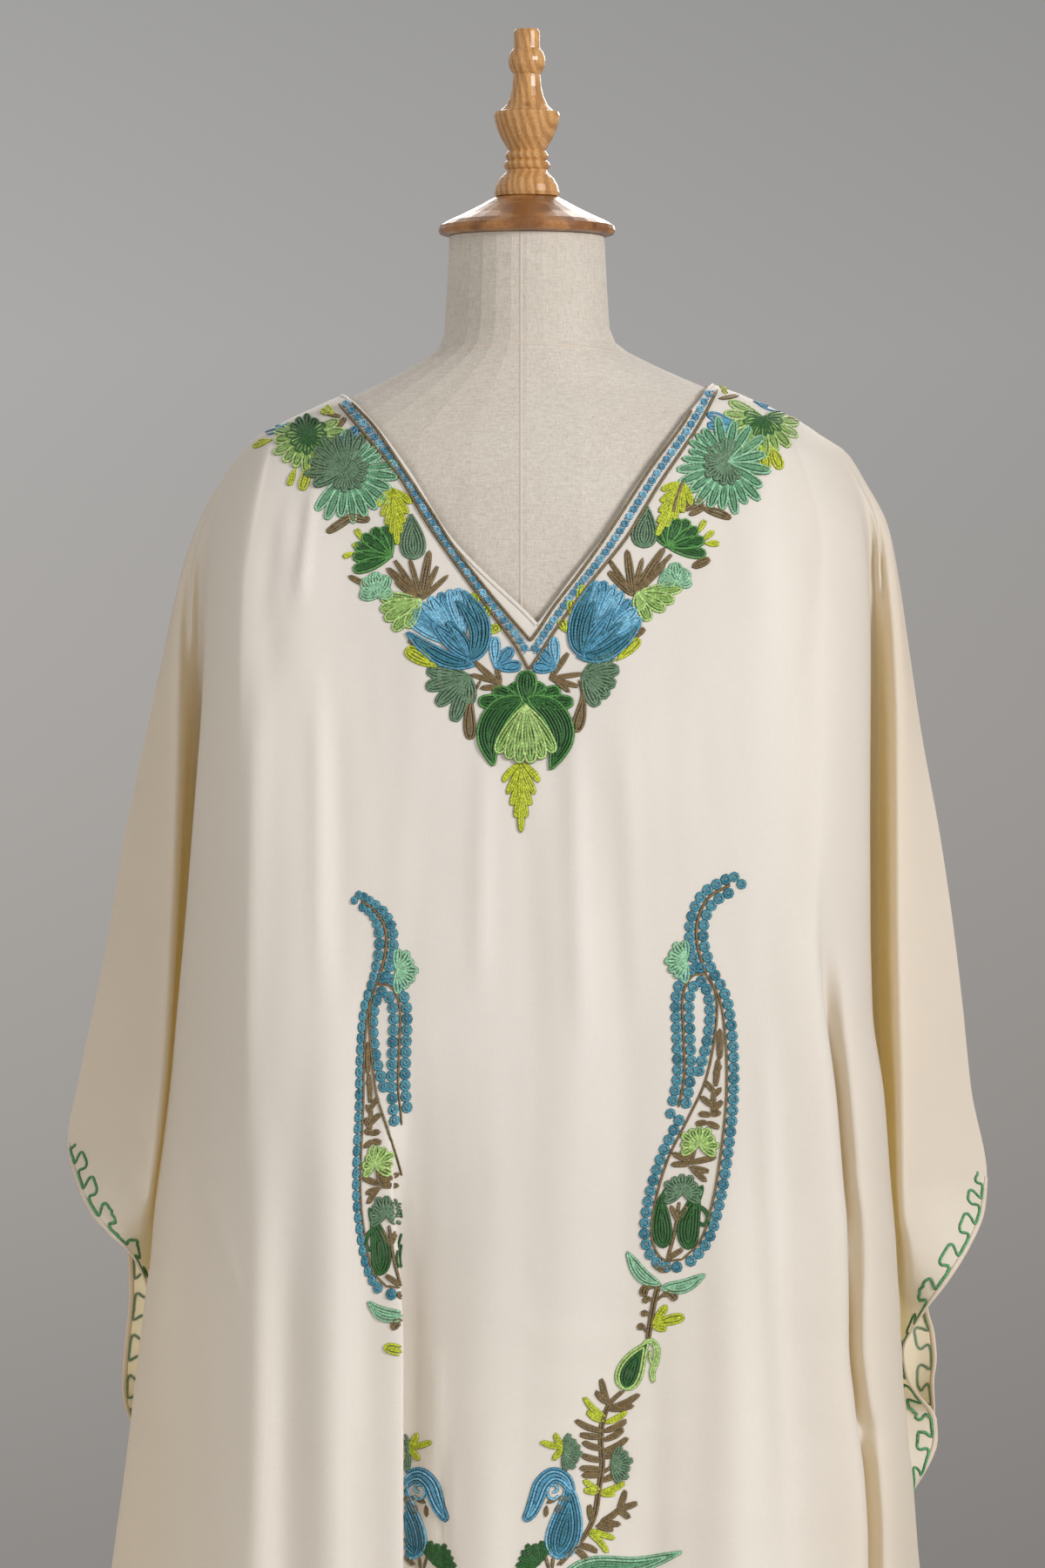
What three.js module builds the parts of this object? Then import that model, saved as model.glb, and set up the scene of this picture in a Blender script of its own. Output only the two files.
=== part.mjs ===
// A batwing kaftan on a limbless dress form. Millimetres, +Z up, front towards -Y.
// The origin is under the middle of the foot.
import * as THREE from 'three';

const WALL = 1.8; // thickness of the cloth
const SEAM_GAP = 0.5; // between front and back where they are sewn
const HEM_Z = 80;
const V_BOTTOM_Z = 1241;
const BACK_NECK_Z = 1384;
const SHOULDER_TILT = 0.03; // the form leans: its right shoulder in the picture is higher
const TILT_FROM = 1120;
const TILT_FULL = 1310;
const CLEAR_OUT = 2.6; // from the form to the middle of the cloth, sideways
const CLEAR_UP = 3.4; // and upwards
const LAP_TOP_Z = 925;
const LAP_FULL_Z = 720;
const LAP_EDGE_X = 84.6;

// the form: half width, depth in front and depth behind at each height
const FORM_COLUMNS = ['z', 'half', 'front', 'back'];
const FORM_ROWS = [
  [1507, 53.4, 53.4, 53.4],
  [1470, 55.2, 55.2, 55.2],
  [1442, 57, 57, 57],
  [1432, 61, 59, 60],
  [1425, 70, 61, 63],
  [1416, 87, 64, 68],
  [1406, 108, 67, 73],
  [1397, 128, 71, 78],
  [1388, 149, 76, 82],
  [1380, 167, 80, 85],
  [1372, 182, 84, 88],
  [1364, 190.5, 88, 91],
  [1350, 194, 93, 95],
  [1334, 193, 98, 98],
  [1300, 186, 108, 103],
  [1250, 177, 119, 106],
  [1195, 170, 127, 103],
  [1130, 152, 115, 94],
  [1060, 134, 98, 86],
  [1000, 136, 98, 92],
  [940, 154, 106, 106],
  [880, 170, 112, 118],
  [830, 174, 112, 119],
  [795, 168, 107, 113],
  [778, 150, 94, 100],
  [774, 120, 74, 80],
];
const FORM_FLOOR = 774;

// half width of the V at each height, and of the shallow back neck
const V_ROWS = [[1402, 129], [1394, 118], [1346, 81], [1301, 54], [1269, 27], [V_BOTTOM_Z, 0]];
const BACK_NECK_ROWS = [[1402, 129], [1397, 108], [1392, 84], [1387.5, 52], [BACK_NECK_Z, 0]];

// One row per section of the front. The outer end is the top fold of the sleeve,
// then the cuff edge, then the side seam. 'sleeve' is the rounded edge of the sleeve
// beside the deep valley, 'edge' the side of the body and 'corner' where the body
// turns to its front. 'roll' and 'tuck' say how far sleeve fold and valley are open.
const FRONT_COLUMNS = ['z', 'endX', 'endY', 'sleeveX', 'sleeveY', 'valleyX', 'valleyY',
  'edgeX', 'edgeY', 'cornerX', 'cornerY', 'frontY', 'gap', 'roll', 'tuck'];
const FRONT_LEFT = [
  [1369, 196, 0, 195, -4, 193, -9, 190, -18, 172, -52, -89, 0, 0, 0],
  [1351, 207, 0, 205, -9, 202, -17, 197, -28, 176, -62, -94, 0, 0, 0],
  [1326, 222, 0, 219, -13, 214, -25, 207, -42, 180, -78, -101, 0, 0.1, 0.1],
  [1300, 233, 1, 228, -16, 222, -27, 213, -54, 184, -92, -110, 0, 0.3, 0.4],
  [1267, 242, 1, 233, -21, 225, -20, 216, -64, 188, -104, -120, 0, 0.6, 0.8],
  [1207, 254, 2, 235, -28, 227, -8, 218, -72, 190, -116, -131, 0, 1, 1],
  [1148, 266, 4, 236, -36, 229, 2, 222, -76, 189, -124, -137, 0, 1, 1],
  [1091, 278, 5, 237.5, -44, 232, 6, 226.5, -78, 188, -129, -141, 0, 1, 1],
  [1033, 287.5, 6, 239.5, -52, 236, 10, 231, -79, 187, -132, -144, 0, 1, 1],
  [978, 298, 8, 242, -60, 239.5, 12, 236, -80, 186, -135, -146, 0, 1, 1],
  [928, 308.5, 9, 245.5, -66, 243, 13, 240.5, -80, 184, -137, -148, 0, 1, 1],
  [881, 316.8, 10, 250.5, -70, 247, 13, 246.5, -80, 184, -139, -150, 0, 1, 1],
  [852, 307, -24, 254.5, -70, 249, 12, 250.5, -80, 184, -140, -151, 0, 1, 1],
  [833, 295, -44, 256, -68, 250, 12, 252.5, -80, 184, -141, -152, 0, 0.8, 1],
  [806, 267, -58, 255, -56, 250, 12, 255, -79, 185, -142, -153, 0, 0.3, 1],
  [783, 258.5, -50, 254, -40, 250, 12, 258.5, -78, 185, -143, -154, 0, 0, 1],
  [740, 256, -26, 252, -16, 250, 12, 264, -74, 185, -144, -155, 0, 0, 0.7],
  [705, 254, 2, 252, 4, 251, 10, 268.5, -68, 186, -145, -156, 0, 0, 0.3],
  [668, 262, 22, 262, 12, 264, 4, 273, -58, 188, -146, -157, 0, 0, 0],
  [595, 278, 18, 280, 8, 282, 0, 283, -48, 195, -148, -160, 0, 0, 0],
  [400, 300, 12, 301, 4, 303, -4, 304, -50, 208, -155, -167, 0, 0, 0],
  [200, 318, 8, 319, 0, 320, -8, 320, -54, 222, -162, -174, 0, 0, 0],
  [80, 326, 6, 327, -2, 328, -10, 328, -56, 228, -166, -178, 0, 0, 0],
];
const FRONT_RIGHT = [
  [1369, 204, 0, 203, -4, 201, -9, 197, -18, 176, -52, -89, 0, 0, 0],
  [1354, 219, 0, 217, -9, 213, -17, 206, -30, 180, -62, -94, 0, 0, 0],
  [1326, 236, 0, 233, -14, 227, -24, 219, -44, 188, -80, -101, 0, 0.2, 0.2],
  [1300, 249, 1, 241, -18, 235, -24, 227, -56, 194, -92, -110, 0, 0.5, 0.6],
  [1267, 256, 1, 244, -24, 238, -16, 231, -64, 197, -103, -120, 0, 0.9, 1],
  [1222, 263, 2, 248, -30, 240, -6, 232, -70, 198, -113, -129, 0, 1, 1],
  [1165, 272, 4, 250, -36, 241, 2, 231, -75, 197, -122, -136, 0, 1, 1],
  [1100, 284, 5, 250, -44, 241, 8, 230.5, -78, 195, -128, -141, 0, 1, 1],
  [1039, 293, 6, 250, -52, 241, 12, 230.5, -80, 193, -132, -144, 0.1, 1, 1],
  [978, 300.5, 8, 251, -58, 242, 14, 232, -80, 198, -135, -146, 0.7, 1, 1],
  [920, 306.5, 9, 252, -64, 245, 14, 241, -78, 205, -138, -148, 1, 1, 1],
  [858, 317.4, 10, 252.5, -68, 248, 13, 246.3, -76, 210, -141, -151, 1, 1, 1],
  [837, 313.4, -24, 253.5, -70, 249, 12, 248.5, -75, 212, -142, -152, 0.9, 1, 1],
  [818, 304.4, -42, 255, -70, 250, 12, 250, -75, 212.5, -143, -153, 0.8, 0.9, 1],
  [793, 288, -56, 256, -66, 250, 12, 251.5, -74, 213, -144, -154, 0.9, 0.7, 1],
  [774, 273, -58, 256, -58, 250, 12, 253, -74, 213, -145, -154, 1, 0.4, 1],
  [758, 263, -55, 254, -48, 250, 12, 253.5, -73, 213, -145, -155, 1, 0.1, 1],
  [745, 257, -48, 252, -40, 249, 12, 254.5, -72, 213.5, -146, -155, 1, 0, 1],
  [723, 261, -24, 254, -4, 249, 12, 255.5, -71, 216, -147, -156, 1, 0, 1],
  [709, 270, -6, 260, 6, 250, 14, 257, -69, 217.5, -148, -156, 0.9, 0, 1],
  [693, 282, 6, 266, 12, 251, 14, 259, -67, 220, -148, -157, 0.7, 0, 0.9],
  [678, 283, 5, 268, 12, 252, 14, 260, -66, 222, -149, -157, 0.6, 0, 0.8],
  [663, 278, 2, 267, 9, 254, 12, 262, -64, 223.5, -150, -157, 0.5, 0, 0.6],
  [640, 265, 8, 261, 9, 257, 8, 264, -59, 225, -151, -158, 0.4, 0, 0.2],
  [628, 259, 18, 259, 12, 260, 4, 265, -56, 225.5, -151, -158, 0.4, 0, 0],
  [595, 264, 18, 265, 8, 266, 0, 268, -50, 226, -152, -160, 0.4, 0, 0],
  [400, 294, 12, 295, 4, 297, -4, 298, -50, 238, -158, -167, 0.5, 0, 0],
  [200, 317, 8, 318, 0, 319, -8, 319, -54, 252, -165, -174, 0.6, 0, 0],
  [80, 326, 6, 327, -2, 328, -10, 328, -56, 258, -168, -178, 0.6, 0, 0],
];

// One row per section of the back; its outer end leaves the front's between the
// top of the cuff and the underarm, where the cuff is open.
const BACK_COLUMNS = ['z', 'endX', 'endY', 'sleeveX', 'sleeveY', 'valleyX', 'valleyY',
  'edgeX', 'edgeY', 'cornerX', 'cornerY', 'frontY'];
const BACK_LEFT = [
  [1369, 196, 0, 195, 5, 192, 12, 186, 24, 168, 52, 92],
  [1351, 207, 0, 206, 8, 203, 18, 195, 34, 168, 66, 99],
  [1326, 222, 0, 220, 12, 214, 26, 203, 46, 168, 80, 105],
  [1300, 233, 1, 231, 16, 222, 34, 207, 58, 168, 92, 109],
  [1267, 242, 1, 239, 22, 228, 42, 209, 70, 168, 101, 112],
  [1207, 254, 2, 251, 28, 233, 50, 210, 82, 168, 108, 117],
  [1148, 266, 4, 262, 36, 238, 57, 212, 90, 170, 113, 121],
  [1033, 287.5, 6, 281, 48, 246, 66, 216, 99, 173, 121, 129],
  [928, 308.5, 9, 297, 58, 254, 72, 222, 104, 177, 126, 134],
  [881, 316.8, 10, 303, 64, 256, 75, 225, 106, 178, 128, 136],
  [849, 307, 46, 291, 76, 256, 78, 226, 107, 179, 129, 138],
  [830, 294, 66, 281, 82, 255, 80, 227, 108, 180, 130, 139],
  [803, 279, 80, 268, 86, 254, 82, 228, 109, 181, 131, 140],
  [774, 278, 86, 266, 88, 252, 84, 228, 110, 182, 132, 141],
  [754, 279.5, 86, 267, 88, 252, 85, 229, 110, 182, 133, 142],
  [728, 282, 82, 269, 86, 252, 86, 229, 111, 182, 133, 142],
  [710, 282.5, 74, 270, 83, 252, 86, 230, 112, 183, 134, 143],
  [694, 279, 56, 268, 74, 253, 85, 232, 112, 184, 135, 144],
  [685, 273, 38, 266, 62, 253, 82, 233, 112, 185, 136, 144],
  [668, 262, 22, 262, 46, 254, 76, 234, 112, 186, 136, 144],
  [590, 279, 18, 276, 46, 264, 78, 240, 114, 190, 139, 147],
  [400, 300, 12, 297, 46, 284, 80, 256, 120, 202, 148, 156],
  [200, 318, 8, 315, 46, 302, 84, 272, 128, 216, 158, 167],
  [80, 326, 6, 323, 46, 312, 88, 280, 134, 226, 167, 178],
];
const BACK_RIGHT = [
  [1369, 204, 0, 203, 5, 200, 12, 192, 24, 170, 52, 92],
  [1354, 219, 0, 217, 8, 212, 18, 202, 34, 170, 66, 99],
  [1326, 236, 0, 233, 12, 225, 26, 209, 46, 170, 80, 105],
  [1300, 249, 1, 245, 16, 232, 34, 212, 58, 170, 92, 109],
  [1267, 256, 1, 251, 22, 236, 42, 213, 70, 170, 101, 112],
  [1222, 263, 2, 258, 28, 239, 50, 213, 82, 170, 108, 117],
  [1165, 272, 4, 266, 36, 242, 57, 214, 90, 171, 113, 121],
  [1039, 293, 6, 284, 48, 248, 66, 217, 99, 173, 121, 129],
  [928, 306.5, 9, 297, 58, 254, 72, 222, 104, 177, 126, 134],
  [858, 317.4, 10, 303, 66, 257, 76, 226, 107, 179, 129, 138],
  [837, 311, 42, 294, 76, 257, 79, 227, 108, 180, 130, 139],
  [818, 302, 60, 285, 83, 257, 81, 228, 109, 181, 131, 140],
  [793, 288, 76, 276, 86, 255, 83, 229, 110, 181, 132, 141],
  [764, 280.5, 84, 271, 88, 254, 85, 230, 111, 182, 133, 142],
  [746, 285, 86, 273, 88, 254, 86, 230, 112, 183, 134, 143],
  [728, 286.5, 82, 274, 87, 254, 87, 231, 112, 184, 135, 143],
  [711, 284, 72, 273, 82, 254, 87, 232, 113, 185, 136, 144],
  [694, 284, 54, 272, 74, 254, 86, 233, 113, 185, 137, 145],
  [672, 273, 34, 267, 58, 254, 82, 234, 113, 186, 137, 145],
  [650, 263, 24, 262, 46, 254, 78, 235, 113, 187, 138, 146],
  [628, 259, 18, 259, 44, 255, 78, 236, 114, 188, 138, 146],
  [590, 264, 18, 263, 46, 257, 79, 238, 114, 190, 139, 147],
  [400, 294, 12, 291, 46, 280, 80, 256, 120, 202, 148, 156],
  [200, 317, 8, 314, 46, 301, 84, 272, 128, 216, 158, 167],
  [80, 326, 6, 323, 46, 312, 88, 280, 134, 226, 167, 178],
];
const CUFF_TOP_LEFT = 881;
const CUFF_TOP_RIGHT = 858;
const UNDERARM_LEFT = 668;
const UNDERARM_RIGHT = 628;

// Soft folds: where each starts and ends, how wide it is and how far it stands out.
const FOLD_COLUMNS = ['top', 'topX', 'bottom', 'bottomX', 'width', 'depth'];
const FRONT_FOLDS = [
  [1345, -146, 1150, -162, 24, 5],
  [1090, -119, 60, -126, 22, 7],
  [1000, -160, 60, -172, 18, -6],
  [800, -42, 60, -30, 22, 6],
  [930, 40, 60, 34, 30, -5],
  [900, 92, 60, 98, 26, 6],
  [1040, 150, 60, 176, 18, 8],
  [1000, 122, 60, 140, 18, -6],
  [1345, 150, 1120, 166, 24, 5],
  [620, -92, 60, -78, 20, 7],
  [560, 4, 60, 0, 24, 7],
];
const BACK_FOLDS = [
  [1180, 0, 60, 0, 34, -9],
  [1280, -84, 60, -96, 32, 8],
  [1280, 84, 60, 92, 32, 8],
  [1100, -142, 60, -156, 26, -7],
  [1100, 140, 60, 150, 26, -7],
  [800, -44, 60, -40, 22, 8],
  [800, 46, 60, 44, 22, 8],
];

// The pleat left of the middle: flat place, folded place and depth of each turn,
// measured from its visible edge outwards.
const LAP_COLUMNS = ['flat', 'folded', 'depth'];
const LAP_ROWS = [
  [62, 62, 0],
  [40, 40, -2.4],
  [24, 17, -4],
  [16, 0.6, -3.8],
  [13, -2, -2],
  [10, 0.4, -0.2],
  [6.5, 7.5, 0],
  [3, 14.6, 0.2],
  [0, 17, 2],
  [-3, 14.6, 3.8],
  [-7, 6, 4],
  [-13, -10, 3],
  [-28, -27, 0],
];

const FRONT_HEIGHTS = [1401, 1394, 1385, 1374, 1360, 1344, 1324, 1300, 1270, V_BOTTOM_Z, 1207, 1160,
  1105, 1045, 985, 930, 900, 881, 868, 858, 846, 833, 820, 806, 792, 779, 765, 745, 723, 709, 693, 679,
  668, 650, 628, 590, 520, 420, 300, 185, HEM_Z];
const BACK_HEIGHTS = [1401, 1396, 1391.5, 1387.5, BACK_NECK_Z, 1374, 1360, 1344, 1324, 1300, 1270, 1235,
  1180, 1120, 1050, 985, 930, 881, 868, 858, 840, 820, 803, 785, 764, 746, 728, 711, 696, 685, 668,
  650, 628, 590, 520, 420, 300, 185, HEM_Z];

const SLOPE_STEP = 1e-6;

// value of one column of a table at height z, smooth and without overshoot
function valueAt(rows, column, z) {
  const last = rows.length - 1;
  if (z >= rows[0][0]) return rows[0][column];
  if (z <= rows[last][0]) return rows[last][column];
  let i = 0;
  while (rows[i + 1][0] > z) i += 1;
  const slope = (k) => (rows[k + 1][column] - rows[k][column]) / (rows[k + 1][0] - rows[k][0]);
  const knot = (k) => {
    if (k === 0) return slope(0);
    if (k === last) return slope(last - 1);
    const before = slope(k - 1);
    const after = slope(k);
    if (before * after <= SLOPE_STEP * SLOPE_STEP) return 0;
    return (2 * before * after) / (before + after);
  };
  const span = rows[i + 1][0] - rows[i][0];
  const t = (z - rows[i][0]) / span;
  const a = rows[i][column];
  const b = rows[i + 1][column];
  const m0 = knot(i) * span;
  const m1 = knot(i + 1) * span;
  const t2 = t * t;
  const t3 = t2 * t;
  return (2 * t3 - 3 * t2 + 1) * a + (t3 - 2 * t2 + t) * m0 + (3 * t2 - 2 * t3) * b + (t3 - t2) * m1;
}

function sectionAt(rows, columns, z) {
  const section = {};
  columns.forEach((name, column) => {
    section[name] = valueAt(rows, column, z);
  });
  return section;
}

function ease(from, to, value) {
  const t = THREE.MathUtils.clamp((value - from) / (to - from), 0, 1);
  return t * t * (3 - 2 * t);
}

function mix(a, b, t) {
  return [a[0] + (b[0] - a[0]) * t, a[1] + (b[1] - a[1]) * t];
}

function tilted(x, z) {
  return z + SHOULDER_TILT * x * ease(TILT_FROM, TILT_FULL, z) * (1 - ease(1440, 1500, z));
}

// how far the form, with its clearance, reaches in front of or behind its middle at x, z
function formReach(x, z, behind) {
  const ring = sectionAt(FORM_ROWS, FORM_COLUMNS, z - CLEAR_UP);
  const half = ring.half + CLEAR_OUT;
  if (Math.abs(x) >= half || z < FORM_FLOOR) return 0;
  const depth = (behind ? ring.back : ring.front) + CLEAR_OUT;
  return depth * Math.sqrt(1 - (x / half) ** 2);
}

function foldsAt(folds, x, z) {
  let sum = 0;
  for (const fold of folds) {
    const [top, topX, bottom, bottomX, width, depth] = fold;
    const down = THREE.MathUtils.clamp((top - z) / (top - bottom), 0, 1);
    const grown = ease(0, 0.35, down);
    const away = (x - topX - (bottomX - topX) * down) / (width * (0.7 + 0.6 * down));
    sum += depth * grown * Math.exp(-away * away);
  }
  return sum;
}

// Points that a section passes through, from its outer end to the middle.
// side is -1 for the left in the picture and 1 for the right.
function frontControls(side, z) {
  const s = sectionAt(side < 0 ? FRONT_LEFT : FRONT_RIGHT, FRONT_COLUMNS, z);
  const end = [s.endX, s.endY];
  const edge = [s.edgeX, s.edgeY];
  const corner = [s.cornerX, s.cornerY];
  const valley = [
    [s.valleyX + 3.4, s.valleyY - 6],
    [s.valleyX, s.valleyY],
    [s.valleyX - 3.4, s.valleyY - 6],
  ].map((point, i) => mix(mix(end, edge, 0.42 + 0.1 * i), point, s.tuck));
  const sleeve = [
    [s.sleeveX + 8, s.sleeveY + 3],
    [s.sleeveX + 3, s.sleeveY - 1],
    [s.sleeveX, s.sleeveY + 5],
  ].map((point, i) => mix(mix(end, valley[0], 0.27 + 0.23 * i), point, s.roll));
  // where the front panel has an edge of its own, the side falls in behind it
  const straight = [mix(edge, corner, 0.42), mix(edge, corner, 0.82)];
  const crest = mix([straight[0][0], straight[0][1] - 7], [s.cornerX + 14, s.cornerY + 22], s.gap);
  const groove = mix([straight[1][0], straight[1][1] - 5], [s.cornerX + 3, s.cornerY + 40], s.gap);
  const points = [end, ...sleeve, ...valley, edge, crest, groove, corner];
  const inner = z > V_BOTTOM_Z ? valueAt(V_ROWS, 1, z) : 0;
  const bulge = (x) => s.frontY + (s.cornerY - s.frontY) * (Math.abs(x) / s.cornerX) ** 2.4;
  if (side > 0) {
    for (const t of [0.82, 0.64, 0.48, 0.32, 0.16, 0]) {
      const x = inner + (s.cornerX - inner) * t;
      points.push([x, bulge(x)]);
    }
  } else {
    const made = 1 - ease(LAP_FULL_Z, LAP_TOP_Z, z);
    const raised = Math.min(1, made * 2.5);
    const places = LAP_ROWS.map(([flat, folded, depth]) => [
      LAP_EDGE_X + flat + (folded - flat) * made,
      depth * raised,
      LAP_EDGE_X + flat,
    ]);
    const outside = (s.cornerX + places[0][0]) / 2;
    const list = [[outside, 0, outside], ...places, [26, 0, 26], [0, 0, 0]];
    for (const [x, deep, flat] of list) {
      const squeezed = inner + x * (1 - inner / s.cornerX);
      const away = inner + flat * (1 - inner / s.cornerX);
      points.push([squeezed, bulge(away) + deep]);
    }
  }
  return { points, inner };
}

// front and back share their outer end everywhere but along the open cuff
function isSewn(side, z) {
  const top = side < 0 ? CUFF_TOP_LEFT : CUFF_TOP_RIGHT;
  const under = side < 0 ? UNDERARM_LEFT : UNDERARM_RIGHT;
  return z >= top || z <= under;
}

function backControls(side, z) {
  const s = sectionAt(side < 0 ? BACK_LEFT : BACK_RIGHT, BACK_COLUMNS, z);
  const front = sectionAt(side < 0 ? FRONT_LEFT : FRONT_RIGHT, FRONT_COLUMNS, z);
  const end = isSewn(side, z) ? [front.endX, front.endY] : [s.endX, s.endY];
  const points = [end, [s.sleeveX, s.sleeveY], [s.valleyX, s.valleyY],
    [s.edgeX, s.edgeY], [s.cornerX, s.cornerY]];
  const inner = z > BACK_NECK_Z ? valueAt(BACK_NECK_ROWS, 1, z) : 0;
  for (const t of [0.8, 0.6, 0.4, 0.2, 0]) {
    const x = inner + (s.cornerX - inner) * t;
    points.push([x, s.frontY + (s.cornerY - s.frontY) * (x / s.cornerX) ** 2.4]);
  }
  return { points, inner };
}

// Over the shoulders the cloth lies on the form: the same share of the way, on its contour.
function onShoulder(points, inner, z, behind) {
  const ring = sectionAt(FORM_ROWS, FORM_COLUMNS, z - CLEAR_UP);
  const half = ring.half + CLEAR_OUT;
  const depth = ((behind ? ring.back : ring.front) + CLEAR_OUT) * (behind ? 1 : -1);
  const run = [0];
  for (let i = 1; i < points.length; i += 1) {
    run.push(run[i - 1] + Math.hypot(points[i][0] - points[i - 1][0], points[i][1] - points[i - 1][1]));
  }
  const reach = Math.acos(Math.min(1, inner / half));
  const lying = ease(1350, 1380, z);
  return points.map((point, i) => {
    const angle = (reach * run[i]) / run[run.length - 1];
    return mix(point, [half * Math.cos(angle), depth * Math.sin(angle)], lying);
  });
}

const FRONT_STEPS_LEFT = [2, 1, 1, 2, 1, 1, 2, 1, 1, 1, 1, 1, 1, 1, 1, 1, 1, 1, 1, 1, 1, 1, 1, 1, 1, 1];
const FRONT_STEPS_RIGHT = [2, 1, 1, 2, 1, 1, 2, 1, 2, 2, 1, 1, 1, 1, 1, 1];
const BACK_STEPS = [2, 2, 2, 2, 1, 1, 1, 1, 1];

// one half of a panel: rows of points from the outer end to the middle
function halfPanel(side, behind, heights) {
  const steps = behind ? BACK_STEPS : side < 0 ? FRONT_STEPS_LEFT : FRONT_STEPS_RIGHT;
  return heights.map((z) => {
    const made = behind ? backControls(side, z) : frontControls(side, z);
    const points = onShoulder(made.points, made.inner, z, behind);
    const curve = new THREE.CatmullRomCurve3(points.map(([x, y]) => new THREE.Vector3(side * x, y, 0)));
    const row = [];
    points.forEach((point, i) => {
      const count = i < points.length - 1 ? steps[i] : 1;
      for (let k = 0; k < count; k += 1) {
        row.push(curve.getPoint((i + k / count) / (points.length - 1)));
      }
    });
    row.forEach((p, column) => {
      const mid = ease(0, 0.3, column / row.length);
      const out = behind ? 1 : -1;
      p.y += out * mid * foldsAt(behind ? BACK_FOLDS : FRONT_FOLDS, p.x, z);
      const reach = formReach(p.x, z, behind);
      if (reach > 0) p.y = out * Math.max(out * p.y, reach);
      if (column === 0) p.y += out * SEAM_GAP * 0.5;
      p.z = tilted(p.x, z);
    });
    return row;
  });
}

// Two halves joined below the neck, given a wall and closed round every free edge.
function clothPanel(behind, heights, neckZ) {
  const halves = [halfPanel(-1, behind, heights), halfPanel(1, behind, heights)];
  const places = [];
  const ids = halves.map((half) => half.map((row) => row.map(() => -1)));
  halves.forEach((half, h) => half.forEach((row, r) => row.forEach((point, c) => {
    const shared = h === 1 && c === row.length - 1 && heights[r] <= neckZ;
    if (shared) {
      ids[h][r][c] = ids[0][r][halves[0][r].length - 1];
    } else {
      ids[h][r][c] = places.length;
      places.push(point);
    }
  })));
  const faces = [];
  halves.forEach((half, h) => {
    // the left half runs outwards to inwards from -X, so its turn is the other way round
    const flip = (h === 1) !== behind;
    for (let r = 0; r < half.length - 1; r += 1) {
      for (let c = 0; c < half[r].length - 1; c += 1) {
        const a = ids[h][r][c];
        const b = ids[h][r][c + 1];
        const d = ids[h][r + 1][c];
        const e = ids[h][r + 1][c + 1];
        if (flip) faces.push([a, b, e], [a, e, d]);
        else faces.push([a, e, b], [a, d, e]);
      }
    }
  });
  const normals = places.map(() => new THREE.Vector3());
  const u = new THREE.Vector3();
  const v = new THREE.Vector3();
  for (const [a, b, c] of faces) {
    u.subVectors(places[b], places[a]);
    v.subVectors(places[c], places[a]);
    const n = u.cross(v).normalize();
    normals[a].add(n);
    normals[b].add(n);
    normals[c].add(n);
  }
  normals.forEach((n) => n.normalize());
  halves.forEach((half, h) => half.forEach((row, r) => {
    if (isSewn(h === 0 ? -1 : 1, heights[r])) {
      const n = normals[ids[h][r][0]];
      n.y = 0;
      n.normalize();
    }
  }));
  const count = places.length;
  const position = [];
  for (const sign of [1, -1]) {
    places.forEach((p, i) => {
      const q = p.clone().addScaledVector(normals[i], (sign * WALL) / 2);
      position.push(q.x, q.y, q.z);
    });
  }
  const index = [];
  const edges = new Map();
  for (const [a, b, c] of faces) {
    index.push(a, b, c, count + a, count + c, count + b);
    for (const [i, j] of [[a, b], [b, c], [c, a]]) edges.set(`${i} ${j}`, [i, j]);
  }
  for (const [i, j] of edges.values()) {
    if (!edges.has(`${j} ${i}`)) index.push(j, i, count + i, j, count + i, count + j);
  }
  const geometry = new THREE.BufferGeometry();
  geometry.setAttribute('position', new THREE.Float32BufferAttribute(position, 3));
  geometry.setIndex(index);
  return geometry;
}

// closed skin through rings of the same number of points
function ringSolid(rings) {
  const round = rings[0].length;
  const position = rings.flat().flatMap((p) => [p.x, p.y, p.z]);
  const index = [];
  for (let r = 0; r < rings.length - 1; r += 1) {
    for (let i = 0; i < round; i += 1) {
      const j = (i + 1) % round;
      const a = r * round + i;
      const b = r * round + j;
      index.push(a, a + round, b + round, a, b + round, b);
    }
  }
  for (const [ring, up] of [[0, true], [rings.length - 1, false]]) {
    const middle = position.length / 3;
    const z = rings[ring].reduce((sum, p) => sum + p.z, 0) / round;
    position.push(0, 0, z);
    for (let i = 0; i < round; i += 1) {
      const a = ring * round + i;
      const b = ring * round + ((i + 1) % round);
      if (up) index.push(middle, a, b);
      else index.push(middle, b, a);
    }
  }
  const geometry = new THREE.BufferGeometry();
  geometry.setAttribute('position', new THREE.Float32BufferAttribute(position, 3));
  geometry.setIndex(index);
  return geometry;
}

function formRing(z, round) {
  const ring = sectionAt(FORM_ROWS, FORM_COLUMNS, z);
  return Array.from({ length: round }, (_, i) => {
    const angle = (i / round) * 2 * Math.PI;
    const x = ring.half * Math.cos(angle);
    const depth = Math.sin(angle) < 0 ? ring.front : ring.back;
    return new THREE.Vector3(x, depth * Math.sin(angle), tilted(x, z));
  });
}

// turned pieces: radius and height pairs, from the axis below to the axis above
function turned(profile, round) {
  const geometry = new THREE.LatheGeometry(profile.map(([r, z]) => new THREE.Vector2(r, z)), round);
  geometry.rotateX(Math.PI / 2);
  return geometry;
}

const NECK_TOP = 1507;
const CAP_SEAT = 0.3;
const CAP_RADIUS = 61;
const FINIAL_SEAT = 1534.8;
const FINIAL_TOP = 1650;
const BALL_Z = 1627.7;
const BALL_RADIUS = 12.8;
const POLE_RADIUS = 15;
const BASE_RADIUS = 190;
const BASE_TOP = 20;

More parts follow.
